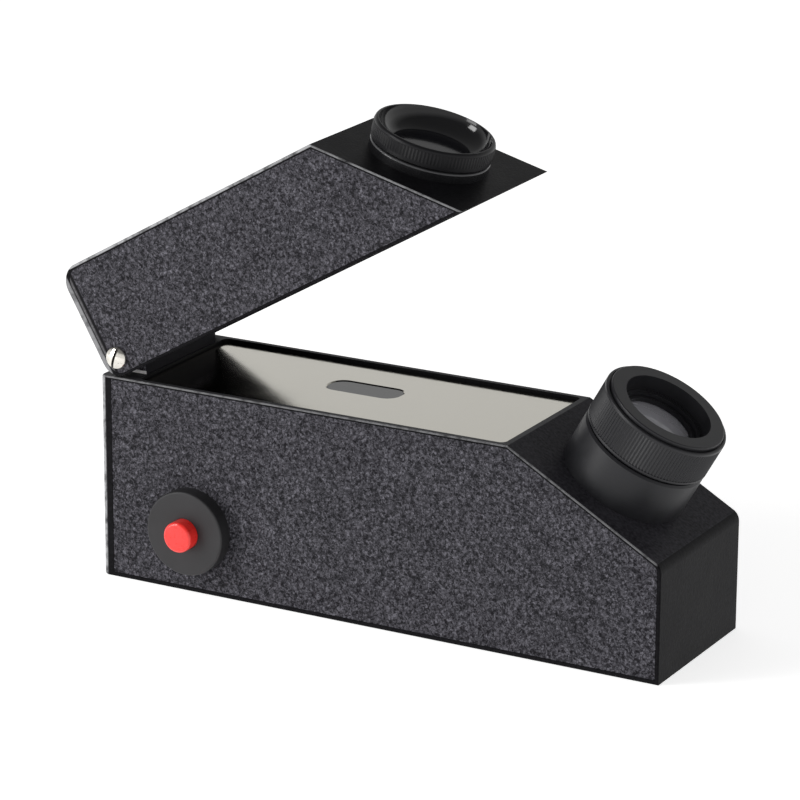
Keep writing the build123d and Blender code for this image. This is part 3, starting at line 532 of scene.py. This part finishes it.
@dataclass(frozen=True)
class CastingBlack:
    """Smooth black coat of the housing and the lid, with a pale band along their long rims that
    is painted highlight and wear.

    A sill is the height of flat wall tops, which are painted a dull grey as a painted highlight.
    A slope is a face whose coat is painted paler, as painted light for the light it catches.
    """

    name: str
    rims: tuple[Rim, ...]
    sill: float | None = None
    slope: Face | None = None
    colour: Colour = (0.0052, 0.0050, 0.0060)
    factors: tuple[float, float] = (0.55, 1.45)
    lift: float = 0.001
    peel: Grain = Grain(0.8 * MM, 3.0, 0.6)
    peel_share: float = 0.7
    peel_depth: float = 0.06 * MM
    mottle: Grain = Grain(12 * MM, 4.0, 0.6, 0.6)
    mottle_roughness: float = 0.16
    shade_span: Span = (0.36, 0.64)
    dust_share: float = 0.4
    dust_roughness: float = 0.15
    dust_bump: float = 0.2
    slope_edge: Span = (-0.08 * MM, -0.04 * MM)
    slope_lift: float = 4.6
    sill_edge: Span = (0.06 * MM, 0.04 * MM)
    sill_highlight: Colour = (0.040, 0.040, 0.043)
    flank: float = 21.5 * MM
    # pale band along the rims: painted highlight and wear of the coat
    highlight_and_wear: Colour = (0.36, 0.36, 0.37)
    rim_patches: Grain = Grain(3.0 * MM, 3.0, 0.6)
    rim_patch_span: Span = (0.25, 0.55)
    rim_softness: float = 0.25
    roughness: float = 0.45
    rim_polish: float = 0.12
    gleam: float = 0.05

    def make(self) -> bpy.types.Material:
        """Build the material.

        Returns:
            The finished material.
        """
        recipe = Recipe(self.name)
        peel = recipe.noise(self.peel)
        mottle = recipe.noise(self.mottle)
        dust = recipe.noise(DUST).between(*DUST_SPAN)
        mixed = mottle * (1.0 - self.peel_share) + peel * self.peel_share
        shade = (mixed.between(*self.shade_span) + dust * self.dust_share).held()
        darker, lighter = shades(self.colour, self.factors, self.lift)
        coat = recipe.blend(shade, darker, lighter)
        # painted light: the sloping face gets a paler copy of the coat
        if self.slope:
            dull = tuple(part * self.slope_lift for part in darker)
            pale = tuple(part * self.slope_lift for part in lighter)
            over = recipe.above(self.slope).between(*self.slope_edge)
            coat = recipe.blend(over, coat, recipe.blend(shade, dull, pale))
        _, across, up = recipe.parts(recipe.place())
        # painted highlight: flat wall tops at the sill are painted a dull grey
        if self.sill:
            top = up.between(*(self.sill - edge for edge in self.sill_edge))
            coat = recipe.blend(top, coat, self.sill_highlight)
        # painted highlight and wear: pale bands along the long rims, broken up in patches
        lit_and_worn = self.lit_and_worn(recipe, across.apart() - self.flank)
        uneven = mottle.swing() * self.mottle_roughness + dust * self.dust_roughness
        height = peel * (1.0 - self.dust_bump) + dust * self.dust_bump
        return recipe.finish(
            base_color=recipe.blend(lit_and_worn, coat, self.highlight_and_wear),
            roughness=self.roughness + uneven - lit_and_worn * self.rim_polish,
            specular_ior_level=self.gleam,
            normal=recipe.raised(height, self.peel_depth),
        )

    def lit_and_worn(self, recipe: Recipe, outward: Signal) -> Signal:
        """How strong the pale rim band is, painted highlight and wear together.

        Args:
            recipe: The material under construction.
            outward: Distance of the surface point beyond the flank, in metres.

        Returns:
            A share from nought to one.
        """
        rim_patches = recipe.noise(self.rim_patches).between(*self.rim_patch_span)
        lit_and_worn: Signal | float = 0.0
        for rim in self.rims:
            near = outward + recipe.above(rim.face) + rim.depth
            lit_and_worn = near.between(0.0, self.rim_softness * rim.depth) * rim.share + lit_and_worn
        return (lit_and_worn * rim_patches).held()


@dataclass(frozen=True)
class BrushedMetal:
    """Metal with a straight grain, faint smears and a few fine scratches."""

    name: str
    colour: Colour
    roughness: float
    stretch: tuple[float, float, float] = (1.0, 40.0, 40.0)
    contrast: float = 0.08
    lines: Grain = Grain(5 * MM, 3.0, 0.6)
    line_share: float = 0.6
    line_roughness: float = 0.06
    line_bump: float = 0.7
    smear: Grain = Grain(16 * MM, 3.0, 0.55, 1.2)
    smear_roughness: float = 0.1
    scratch: Grain = Grain(2 * MM, 0.0)
    scratch_stretch: tuple[float, float, float] = (0.6, 22.0, 22.0)
    scratch_span: Span = (0.74, 0.80)
    depth: float = 0.004 * MM

    def make(self) -> bpy.types.Material:
        """Build the material.

        Returns:
            The finished material.
        """
        recipe = Recipe(self.name)
        lines = recipe.noise(self.lines, recipe.stretched(self.stretch))
        smear = recipe.noise(self.smear)
        scratch = recipe.noise(self.scratch, recipe.stretched(self.scratch_stretch))
        scratches = scratch.between(*self.scratch_span)
        share = (lines * self.line_share + smear * (1.0 - self.line_share)).between(*EVEN_SPAN)
        uneven = smear.swing() * self.smear_roughness + lines.swing() * self.line_roughness
        height = lines * self.line_bump + scratches * (1.0 - self.line_bump)
        factors = (1.0 - self.contrast, 1.0 + self.contrast)
        return recipe.finish(
            base_color=recipe.blend(share, *shades(self.colour, factors)),
            metallic=1.0,
            roughness=self.roughness + uneven,
            normal=recipe.raised(height, self.depth),
        )


@dataclass(frozen=True)
class SlottedMetal:
    """Bright nickel of the hinge screws, with a few dirt spots and painted shade in the
    screwdriver slot.
    """

    name: str
    colour: Colour = (0.80, 0.77, 0.71)
    worn_factor: float = 0.86
    roughness: float = 0.12
    smear: Grain = Grain(1.6 * MM, 3.0, 0.6, 0.8)
    smear_span: Span = (0.35, 0.65)
    smear_roughness: float = 0.1
    smear_depth: float = 0.01 * MM
    spots: Grain = Grain(0.5 * MM, 2.0, 0.6)
    spot_span: Span = (0.64, 0.72)
    spot_share: float = 0.35
    spot_roughness: float = 0.1
    # colour of the dirt spots and of the painted shade in the slot
    dirt_and_slot_shade: Colour = (0.055, 0.050, 0.045)
    slot_roughness: float = 0.5
    slot_shade_edge: Span = (0.005 * MM, 0.03 * MM)
    head_start: Span = (21.62 * MM, 21.64 * MM)

    def make(self) -> bpy.types.Material:
        """Build the material.

        Returns:
            The finished material.
        """
        recipe = Recipe(self.name)
        smear = recipe.noise(self.smear)
        spots = recipe.noise(self.spots).between(*self.spot_span)
        along, across, up = recipe.parts(recipe.place())
        lean = radians(SLOT_TURN)
        off = (along - HINGE_PIVOT[0]) * cos(lean) + (up - HINGE_PIVOT[2]) * sin(lean)
        # painted shade: the screwdriver slot is painted dark, as the shade inside it
        slot = 1.0 - off.apart().between(*(SLOT_WIDTH / 2 + edge for edge in self.slot_shade_edge))
        slot_shade = slot * across.apart().between(*self.head_start)
        dulled = tuple(part * self.worn_factor for part in self.colour)
        colour = recipe.blend(smear.between(*self.smear_span), self.colour, dulled)
        colour = recipe.blend(spots * self.spot_share, colour, self.dirt_and_slot_shade)
        uneven = smear.swing() * self.smear_roughness + spots * self.spot_roughness
        return recipe.finish(
            base_color=recipe.blend(slot_shade, colour, self.dirt_and_slot_shade),
            metallic=1.0 - slot_shade,
            roughness=self.roughness + uneven + slot_shade * self.slot_roughness,
            normal=recipe.raised(smear, self.smear_depth),
        )


@dataclass(frozen=True)
class TurnedBlack:
    """Satin black anodised metal, turned on a lathe.

    The axis stands on the foot's point, along its direction. A bowl is a glossy hollow of a
    given radius, above a given floor. A highlight ring is a painted highlight: a fine pale ring
    at a given height.
    """

    name: str
    foot: Face
    colour: Colour = (0.012, 0.012, 0.014)
    roughness: float = 0.40
    gleam: float = 0.34
    factors: tuple[float, float] = (0.8, 1.3)
    groove: Grain = Grain(0.16 * MM, 2.0, 0.6)
    groove_share: float = 0.5
    groove_roughness: float = 0.08
    groove_depth: float = 0.006 * MM
    mottle: Grain = Grain(5 * MM, 3.0, 0.6, 0.5)
    mottle_roughness: float = 0.14
    bowl_radius: float | None = None
    bowl_floor: float = 0.0
    bowl_edge: float = 0.1 * MM
    bowl_roughness: float = 0.10
    bowl_gloss: float = 0.45
    highlight_ring_height: float | None = None
    highlight_ring_width: float = 0.3 * MM
    highlight_ring_colour: Colour = (0.10, 0.10, 0.105)
    highlight_ring_share: float = 0.6

    def make(self) -> bpy.types.Material:
        """Build the material.

        Returns:
            The finished material.
        """
        recipe = Recipe(self.name)
        x, y, height = recipe.parts(recipe.turned(self.foot))
        radius = (x * x + y * y) ** 0.5
        rings = recipe.node(
            "ShaderNodeCombineXYZ", inputs={"X": radius, "Y": height, "Z": 0.0}
        )
        groove = recipe.noise(self.groove, rings)
        mottle = recipe.noise(self.mottle)
        mixed = groove * self.groove_share + mottle * (1.0 - self.groove_share)
        colour = recipe.blend(mixed.between(*EVEN_SPAN), *shades(self.colour, self.factors))
        uneven = mottle.swing() * self.mottle_roughness + groove.swing() * self.groove_roughness
        roughness = self.roughness + uneven
        # painted highlight: a fine pale ring at the given height
        if self.highlight_ring_height:
            ring = 1.0 - (height - self.highlight_ring_height).apart().between(0.0, self.highlight_ring_width)
            share = ring * (self.highlight_ring_share + mottle * self.highlight_ring_share)
            colour = recipe.blend(share, colour, self.highlight_ring_colour)
        bowl: Signal | float = 0.0
        if self.bowl_radius:
            within = 1.0 - radius.between(self.bowl_radius - self.bowl_edge, self.bowl_radius)
            bowl = within * height.between(self.bowl_floor, self.bowl_floor + self.bowl_edge)
            roughness = roughness * (1.0 - bowl) + bowl * self.bowl_roughness
        return recipe.finish(
            base_color=colour,
            roughness=roughness,
            specular_ior_level=self.gleam,
            coat_weight=bowl * self.bowl_gloss,
            coat_roughness=self.bowl_roughness,
            normal=recipe.raised(groove, self.groove_depth),
        )


@dataclass(frozen=True)
class OpticalGlass:
    """Clear or tinted glass with a trace of dust and a soft bloom from its coating."""

    name: str
    tint: Colour
    index: float = 1.52
    roughness: float = 0.02
    clear: float = 1.0
    dust: Grain = Grain(0.4 * MM, 1.0)
    dust_span: Span = (0.74, 0.82)
    dust_share: float = 0.2
    dust_factor: float = 0.9
    dust_lift: float = 0.05
    dust_roughness: float = 0.05
    film: Grain = Grain(6 * MM, 3.0, 0.6, 1.0)
    film_roughness: float = 0.02

    def make(self) -> bpy.types.Material:
        """Build the material.

        Returns:
            The finished material.
        """
        recipe = Recipe(self.name)
        dust = recipe.noise(self.dust).between(*self.dust_span)
        film = recipe.noise(self.film)
        clean, dusty = shades(self.tint, (1.0, self.dust_factor), self.dust_lift)
        uneven = film * self.film_roughness + dust * self.dust_roughness
        return recipe.finish(
            base_color=recipe.blend(dust * self.dust_share, clean, dusty),
            roughness=self.roughness + uneven,
            transmission_weight=self.clear,
            ior=self.index,
        )


@dataclass(frozen=True)
class GlossResin:
    """Bright moulded resin, gently uneven, with a clear skin."""

    name: str
    colour: Colour
    roughness: float = 0.28
    factors: tuple[float, float] = (0.9, 1.06)
    lift: float = 0.01
    mottle: Grain = Grain(2.4 * MM, 3.0, 0.55, 0.4)
    mottle_roughness: float = 0.08
    mottle_bump: float = 0.6
    wear: Grain = Grain(0.3 * MM)
    wear_span: Span = (0.66, 0.78)
    wear_roughness: float = 0.12
    depth: float = 0.01 * MM
    coat: float = 0.35
    coat_roughness: float = 0.12

    def make(self) -> bpy.types.Material:
        """Build the material.

        Returns:
            The finished material.
        """
        recipe = Recipe(self.name)
        mottle = recipe.noise(self.mottle)
        wear = recipe.noise(self.wear).between(*self.wear_span)
        colour = shades(self.colour, self.factors, self.lift)
        uneven = mottle.swing() * self.mottle_roughness + wear * self.wear_roughness
        height = mottle * self.mottle_bump + wear * (1.0 - self.mottle_bump)
        return recipe.finish(
            base_color=recipe.blend(mottle.between(*EVEN_SPAN), *colour),
            roughness=self.roughness + uneven,
            coat_weight=self.coat,
            coat_roughness=self.coat_roughness,
            normal=recipe.raised(height, self.depth),
        )


class Finish(Enum):
    """The finishes of the instrument. The table after this class says which nodes wear them."""

    SKIN = CrinkleSkin()
    LID_SKIN = CrinkleSkin("lid_skin", border_face=LID_REAR)
    HINGE_BLOCK = HingeBlockSkin("hinge_block_skin", front=-65.2 * MM, foot=BODY_HEIGHT)
    HOUSING = CastingBlack(
        "housing_black",
        (
            Rim(BODY_TOP, 0.4 * MM, 0.55),
            Rim(EYEPIECE_FACE, 0.4 * MM, 0.5),
            Rim(BODY_REAR, 1.6 * MM, 1.0),
        ),
        sill=BODY_HEIGHT,
        slope=EYEPIECE_FACE,
    )
    LID = CastingBlack(
        "lid_black",
        (
            Rim(LID_TOP, 0.7 * MM, 1.0),
            Rim(CAP_FACE, 0.4 * MM, 0.7),
            Rim(LID_REAR, 1.6 * MM, 0.7),
        ),
    )
    COVER = MouldedPlastic("cover_black", (0.010, 0.0098, 0.011), 0.5, gleam=0.2)
    STAGE = BrushedMetal("stage_steel", (0.48, 0.462, 0.405), 0.13, contrast=0.03)
    BARREL = TurnedBlack("barrel_black", EYEPIECE_FACE)
    CAP = TurnedBlack(
        "cap_black", CAP_FACE, (0.0055, 0.0054, 0.0065), 0.40, 0.20,
        bowl_radius=13.6 * MM, bowl_floor=2.95 * MM,
    )
    SOCKET = TurnedBlack(
        "socket_black", CAP_FACE, (0.008, 0.008, 0.009), 0.25, highlight_ring_height=2.15 * MM
    )
    BEZEL = MouldedPlastic("bezel_black", (0.021, 0.0205, 0.022), 0.5, gleam=0.35)
    BUTTON = GlossResin("button_red", (0.93, 0.022, 0.016))
    NICKEL = BrushedMetal("nickel", (0.74, 0.71, 0.64), 0.16, (8.0, 8.0, 8.0))
    SCREW = SlottedMetal("polished_nickel")
    DARK_STEEL = BrushedMetal("blackened_steel", (0.10, 0.10, 0.10), 0.35)
    SPRING = BrushedMetal("spring_steel", (0.52, 0.52, 0.51), 0.28)
    BRASS = BrushedMetal("brass", (0.74, 0.54, 0.24), 0.25)
    SILVER = BrushedMetal("silvering", (0.92, 0.92, 0.92), 0.03, contrast=0.01)
    MATT_BLACK = MouldedPlastic("optical_black", (0.012, 0.012, 0.013), 0.7)
    MOULDING = MouldedPlastic("inner_moulding", (0.075, 0.075, 0.082), 0.5)
    NYLON = MouldedPlastic("nylon", (0.74, 0.72, 0.66), 0.45)
    CELL_WRAP = MouldedPlastic("cell_wrap", (0.07, 0.17, 0.14), 0.3, coat=0.4)
    LAMP = GlossResin("lamp_resin", (0.93, 0.68, 0.28), 0.15)
    LENS = OpticalGlass("lens_glass", (0.93, 0.96, 0.97))
    EYE_LENS = OpticalGlass("eye_lens_glass", (0.93, 0.925, 0.99), clear=0.70)
    # painted shade: the window glass is an opaque dark finish, standing in for the dark inside
    # seen through it
    STAGE_GLASS = MouldedPlastic("dense_glass", (0.030, 0.031, 0.028), 0.10, gleam=0.25)
    AMBER = OpticalGlass("amber_glass", (0.92, 0.50, 0.06))
    GREY = OpticalGlass("grey_glass", (0.012, 0.012, 0.015), 1.3, 0.08, 0.3)


WEARERS: dict[Finish, tuple[str, ...]] = {
    Finish.SKIN: ("near_side_panel", "far_side_panel"),
    Finish.LID_SKIN: ("lid_near_panel", "lid_far_panel"),
    Finish.HINGE_BLOCK: ("hinge_block",),
    Finish.HOUSING: ("body_housing",),
    Finish.LID: ("lid_shell",),
    Finish.COVER: ("base_cover",),
    Finish.SOCKET: ("filter_socket",),
    Finish.STAGE: ("stage_plate",),
    Finish.STAGE_GLASS: ("stage_glass",),
    Finish.BARREL: ("eyepiece_barrel", "focus_ring", "lens_tube", "eyepiece_lens_rings"),
    Finish.CAP: ("cap_ring",),
    Finish.BEZEL: ("switch_bezel",),
    Finish.BUTTON: ("push_button",),
    Finish.NICKEL: ("hinge_screws", "switch_nut"),
    Finish.DARK_STEEL: ("base_cover_screws", "hinge_block_screws", "guide_screw"),
    Finish.SPRING: ("button_spring", "battery_contacts"),
    Finish.BRASS: ("relay_retaining_rings",),
    Finish.SILVER: ("beam_mirror",),
    Finish.MATT_BLACK: ("prism_mount", "lamp_tube", "relay_tube", "barrel_nut"),
    Finish.MOULDING: (
        "lamp_hanger", "relay_hanger", "mirror_wedge", "battery_tray", "switch_body",
    ),
    Finish.NYLON: ("hinge_washers",),
    Finish.CELL_WRAP: ("batteries",),
    Finish.LAMP: ("lamp",),
    Finish.LENS: ("relay_lens", "scale_disc", "field_lens"),
    Finish.EYE_LENS: ("eye_lens",),
    Finish.AMBER: ("colour_filter",),
    Finish.GREY: ("cap_filter",),
}


@dataclass
class Wardrobe:
    """Makes each finish once and puts it on the nodes of the frame and on new pieces."""

    made: dict[Finish, bpy.types.Material] = field(default_factory=dict)

    def material(self, finish: Finish) -> bpy.types.Material:
        """The finish's material, made when it is first asked for.

        Args:
            finish: The finish.

        Returns:
            Its only material.
        """
        if finish not in self.made:
            self.made[finish] = finish.value.make()
        return self.made[finish]

    def dress(self, thing: bpy.types.Object, finish: Finish) -> None:
        """Put one finish on every slot of an object.

        Args:
            thing: A node of the frame or a new piece.
            finish: What it wears.
        """
        material = self.material(finish)
        if not thing.material_slots:
            thing.data.materials.append(material)
        for slot in thing.material_slots:
            slot.material = material

    def dress_frame(self, nodes: dict[str, bpy.types.Object]) -> None:
        """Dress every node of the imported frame.

        Args:
            nodes: The frame's objects by node name.
        """
        for finish, names in WEARERS.items():
            for name in names:
                self.dress(nodes[name], finish)
                LOG.info("node %s wears %s", name, finish.name)


@dataclass
class Workbench:
    """Turns, slits, welds and places pieces."""

    segments: int = 72
    smooth_angle: float = 38.0

    def take(self, piece: bpy.types.Object) -> None:
        """Select one piece alone and make it the active one.

        Args:
            piece: The piece to work on.
        """
        bpy.ops.object.select_all(action="DESELECT")
        piece.select_set(True)
        bpy.context.view_layer.objects.active = piece

    def settle(self, piece: bpy.types.Object) -> None:
        """Fix a piece's place in its mesh and shade it smooth, but for its sharp edges.

        Args:
            piece: The piece, built and in its place.
        """
        self.take(piece)
        bpy.ops.object.transform_apply(location=True, rotation=True, scale=True)
        bpy.ops.object.shade_smooth_by_angle(angle=radians(self.smooth_angle))

    def turn(self, name: str, profile: Sequence[tuple[float, float]]) -> bpy.types.Object:
        """Turn one closed piece about Z, out of a disc that is raised and widened in steps.

        Args:
            name: The piece's name.
            profile: Radius and height of each step from the foot to the crown, in metres.

        Returns:
            The piece, standing on the origin.
        """
        radius, height = profile[0]
        bpy.ops.object.select_all(action="DESELECT")
        bpy.ops.mesh.primitive_circle_add(
            vertices=self.segments, radius=radius, fill_type="NGON", location=(0.0, 0.0, height)
        )
        piece = bpy.context.object
        piece.name = name
        bpy.ops.object.transform_apply(location=True, rotation=True, scale=True)
        bpy.ops.object.mode_set(mode="EDIT")
        bpy.ops.mesh.select_all(action="SELECT")
        for next_radius, next_height in profile[1:]:
            bpy.ops.mesh.extrude_region_move(
                TRANSFORM_OT_translate={"value": (0.0, 0.0, next_height - height)}
            )
            growth = next_radius / radius
            bpy.ops.transform.resize(
                value=(growth, growth, 1.0), center_override=(0.0, 0.0, 0.0)
            )
            radius, height = next_radius, next_height
        bpy.ops.mesh.select_all(action="SELECT")
        bpy.ops.mesh.normals_make_consistent(inside=False)
        bpy.ops.object.mode_set(mode="OBJECT")
        return piece

    def slit(
        self, piece: bpy.types.Object, size: Sequence[float], height: float, turn: float
    ) -> None:
        """Saw a straight slit across the crown.

        Args:
            piece: The turned piece.
            size: Width, length and depth of the saw's block, in metres.
            height: Height of the slit's floor.
            turn: Turn of the slit about Z, in degrees.
        """
        bpy.ops.mesh.primitive_cube_add(
            size=1.0, location=(0.0, 0.0, height + size[2] / 2), rotation=(0, 0, radians(turn))
        )
        saw = bpy.context.object
        saw.scale = size
        cut = piece.modifiers.new("slit", "BOOLEAN")
        cut.operation = "DIFFERENCE"
        cut.solver = "EXACT"
        cut.object = saw
        bpy.context.view_layer.objects.active = piece
        bpy.ops.object.modifier_apply(modifier=cut.name)
        bpy.data.objects.remove(saw)

    def weld(self, piece: bpy.types.Object, gap: float) -> None:
        """Merge a copied mesh's doubled points and settle it.

        Args:
            piece: The copy of a node, whose triangles are loose.
            gap: Points closer than this are merged, in metres.
        """
        self.take(piece)
        bpy.ops.object.transform_apply(location=True, rotation=True, scale=True)
        bpy.ops.object.mode_set(mode="EDIT")
        bpy.ops.mesh.select_all(action="SELECT")
        bpy.ops.mesh.remove_doubles(threshold=gap)
        bpy.ops.mesh.normals_make_consistent(inside=False)
        bpy.ops.object.mode_set(mode="OBJECT")
        self.settle(piece)

    def stand(
        self, piece: bpy.types.Object, foot: Sequence[float], turn: Sequence[float]
    ) -> None:
        """Put a piece where it belongs and settle it.

        Args:
            piece: The piece, made on the origin.
            foot: Where its origin goes, in metres.
            turn: Its turns about X, Y and Z, in degrees.
        """
        piece.location = foot
        piece.rotation_euler = tuple(radians(angle) for angle in turn)
        self.settle(piece)


@dataclass
class HingeScrews:
    """The two shoulder screws that the lid turns on, each with a domed and slotted head.

    Heights run along a screw from the end of the hinge block. The far screw is turned so
    that both slots lean the same way.
    """

    node: str = "hinge_screws"
    block_end: float = 15.7 * MM
    head_seat: float = 5.9 * MM
    thread_radius: float = 1.25 * MM
    thread_length: float = 6.0 * MM
    thread_pitch: float = 0.5 * MM
    thread_depth: float = 0.14 * MM
    thread_crest: float = 0.45
    thread_root: float = 0.95
    shank_radius: float = 1.6 * MM
    head_radius: float = 2.8 * MM
    head_chamfer: float = 0.06 * MM
    head_edge: float = 0.22 * MM
    dome_height: float = 1.36 * MM
    dome_sweep: float = 86.0
    dome_steps: int = 9
    slot_depth: float = 0.95 * MM
    saw_length: float = 8.4 * MM
    near_turn: Place = (90.0, 0.0, 0.0)
    far_turn: Place = (-90.0, 34.0, 0.0)

    def profile(self) -> list[tuple[float, float]]:
        """Work out the screw's half outline.

        Returns:
            Radius and height of every step, from the thread's tip to the crown.
        """
        root = self.thread_radius - self.thread_depth
        steps = [(root, -self.thread_length)]
        for turn in range(round(self.thread_length / self.thread_pitch)):
            foot = turn * self.thread_pitch - self.thread_length
            steps.append((self.thread_radius, foot + self.thread_pitch * self.thread_crest))
            steps.append((root, foot + self.thread_pitch * self.thread_root))
        rim = self.head_seat + self.head_edge
        steps += [
            (self.shank_radius, 0.0),
            (self.shank_radius, self.head_seat),
            (self.head_radius - self.head_chamfer, self.head_seat),
            (self.head_radius, self.head_seat + self.head_chamfer),
            (self.head_radius, rim),
        ]
        for step in range(1, self.dome_steps + 1):
            angle = radians(self.dome_sweep) * step / self.dome_steps
            steps.append((self.head_radius * cos(angle), rim + self.dome_height * sin(angle)))
        return steps

    def build(self, bench: Workbench, wardrobe: Wardrobe) -> list[bpy.types.Object]:
        """Turn one screw, slit it, copy it for the far side and dress both.

        Args:
            bench: Where the screws are made.
            wardrobe: Where their finish comes from.

        Returns:
            The near and the far screw.
        """
        near = bench.turn("near_hinge_screw", self.profile())
        crown = self.head_seat + self.head_edge + self.dome_height
        saw = (SLOT_WIDTH, self.saw_length, 2 * self.slot_depth)
        bench.slit(near, saw, crown - self.slot_depth, SLOT_TURN)
        far = near.copy()
        far.data = near.data.copy()
        far.name = "far_hinge_screw"
        bpy.context.scene.collection.objects.link(far)
        pivot_x, _, pivot_z = HINGE_PIVOT
        bench.stand(near, (pivot_x, -self.block_end, pivot_z), self.near_turn)
        bench.stand(far, (pivot_x, self.block_end, pivot_z), self.far_turn)
        for screw in (near, far):
            wardrobe.dress(screw, Finish.SCREW)
            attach(screw, "instrument")
            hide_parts(self.node)
        return [near, far]


@dataclass
class ButtonSpring:
    """The push button's coil spring, taken over from the frame."""

    node: str = "button_spring"
    travel: float = 1.6 * MM
    weld_gap: float = 0.001 * MM

    def build(self, bench: Workbench, wardrobe: Wardrobe) -> list[bpy.types.Object]:
        """Take the coil over from the frame, dress it and attach it to the instrument.

        Args:
            bench: Where the coil's mesh is merged.
            wardrobe: Where its finish comes from.

        Returns:
            The spring, in a list of one.
        """
        coil = bpy.data.objects[self.node]
        spring = bpy.data.objects.new("push_button_coil", coil.data.copy())
        spring.matrix_world = coil.matrix_world.copy()
        bpy.context.scene.collection.objects.link(spring)
        bench.weld(spring, self.weld_gap)
        wardrobe.dress(spring, Finish.SPRING)
        low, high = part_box(self.node)
        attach(spring, "instrument")
        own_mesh(spring)
        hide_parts(self.node)
        return [spring]


@dataclass(frozen=True)
class Softbox:
    """A square light that faces the instrument: its place and side, in metres, and watts."""

    name: str
    place: Place
    side: float
    power: float


@dataclass
class Studio:
    """Pale floor, soft lights and the camera at the photograph's angle."""

    target: Place = (-3.75 * MM, -1.5 * MM, 50.04 * MM)
    camera_place: Place = (432.6635 * MM, -791.4581 * MM, 335.2679 * MM)
    azimuth: float = 28.9001
    elevation: float = 17.5222
    roll: float = 0.3111
    focal_px: float = 3995.43
    frame_px: float = 800.0
    sensor: float = 36.0
    far_limit: float = 50.0
    floor_size: float = 6.0
    floor_colour: Colour = (0.80, 0.80, 0.80)
    floor_tone: Grain = Grain(90 * MM)
    floor_factors: tuple[float, float] = (0.99, 1.0)
    floor_roughness: float = 0.8
    floor_glow: float = 0.70
    horizon: float = 0.90
    zenith: float = 0.22
    bright_height: float = 0.28
    dim_height: float = 0.60
    white: Colour = (1.0, 1.0, 1.0)
    softboxes: tuple[Softbox, ...] = (
        Softbox("left_softbox", (-0.75, -0.85, 0.25), 0.5, 4.0),
        Softbox("high_softbox", (-0.56, -0.48, 0.60), 0.26, 2.2),
    )

    def camera(self) -> None:
        """Add the camera and make it the scene's own."""
        azimuth, elevation = radians(self.azimuth), radians(self.elevation)
        back = Vector(
            (sin(azimuth) * cos(elevation), -cos(azimuth) * cos(elevation), sin(elevation))
        )
        right = Vector((cos(azimuth), sin(azimuth), 0.0))
        up = back.cross(right)
        roll = radians(self.roll)
        turned_right = right * cos(roll) + up * sin(roll)
        turned_up = up * cos(roll) - right * sin(roll)
        lens = bpy.data.cameras.new("photo_camera")
        lens.sensor_width = self.sensor
        lens.lens = self.focal_px / self.frame_px * self.sensor
        lens.clip_end = self.far_limit
        camera = bpy.data.objects.new("photo_camera", lens)
        bpy.context.scene.collection.objects.link(camera)
        axes = Matrix((turned_right, turned_up, back)).transposed().to_4x4()
        camera.matrix_world = Matrix.Translation(self.camera_place) @ axes
        bpy.context.scene.camera = camera

    def floor(self) -> None:
        """Lay the pale floor under the instrument."""
        bpy.ops.mesh.primitive_plane_add(size=self.floor_size, location=(0.0, 0.0, 0.0))
        floor = bpy.context.object
        floor.name = "floor"
        recipe = Recipe("floor_paint")
        tone = recipe.noise(self.floor_tone)
        paint = recipe.finish(
            base_color=recipe.blend(tone, *shades(self.floor_colour, self.floor_factors)),
            roughness=self.floor_roughness,
            emission_color=self.white,
            emission_strength=self.floor_glow,
        )
        floor.data.materials.append(paint)

    def area_light(self, softbox: Softbox) -> None:
        """Add one softbox that faces the instrument.

        Args:
            softbox: Its place, side and power.
        """
        data = bpy.data.lights.new(softbox.name, "AREA")
        data.shape = "SQUARE"
        data.size = softbox.side
        data.energy = softbox.power
        light = bpy.data.objects.new(softbox.name, data)
        bpy.context.scene.collection.objects.link(light)
        aim = Vector(self.target) - Vector(softbox.place)
        turn = aim.to_track_quat("-Z", "Y").to_matrix().to_4x4()
        light.matrix_world = Matrix.Translation(softbox.place) @ turn

    def light(self) -> None:
        """Set the surroundings, bright at the horizon and dim overhead, and the softboxes."""
        world = bpy.data.worlds.new("studio")
        world.use_nodes = True
        nodes, links = world.node_tree.nodes, world.node_tree.links
        place = nodes.new("ShaderNodeTexCoord")
        parts = nodes.new("ShaderNodeSeparateXYZ")
        links.new(place.outputs["Generated"], parts.inputs[0])
        fall = nodes.new("ShaderNodeMapRange")
        fall.inputs["From Min"].default_value = self.bright_height
        fall.inputs["From Max"].default_value = self.dim_height
        fall.inputs["To Min"].default_value = self.horizon
        fall.inputs["To Max"].default_value = self.zenith
        links.new(parts.outputs["Z"], fall.inputs["Value"])
        links.new(fall.outputs[0], nodes["Background"].inputs["Strength"])
        nodes["Background"].inputs["Color"].default_value = (*self.white, 1.0)
        bpy.context.scene.world = world
        bpy.context.scene.view_settings.view_transform = "Standard"
        for softbox in self.softboxes:
            self.area_light(softbox)

    def build(self) -> None:
        """Set up the whole studio."""
        self.floor()
        self.light()
        self.camera()


def main() -> None:
    """Load the frame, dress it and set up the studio."""
    logging.basicConfig(level=logging.INFO, format="%(name)s: %(message)s")
    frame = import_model()
    wardrobe = Wardrobe()
    wardrobe.dress_frame(frame["nodes"])
    bench = Workbench()
    for assembly in (HingeScrews(), ButtonSpring()):
        for piece in assembly.build(bench, wardrobe):
            LOG.info("piece %s, %d faces", piece.name, len(piece.data.polygons))
    Studio().build()


if __name__ == "__main__":
    main()
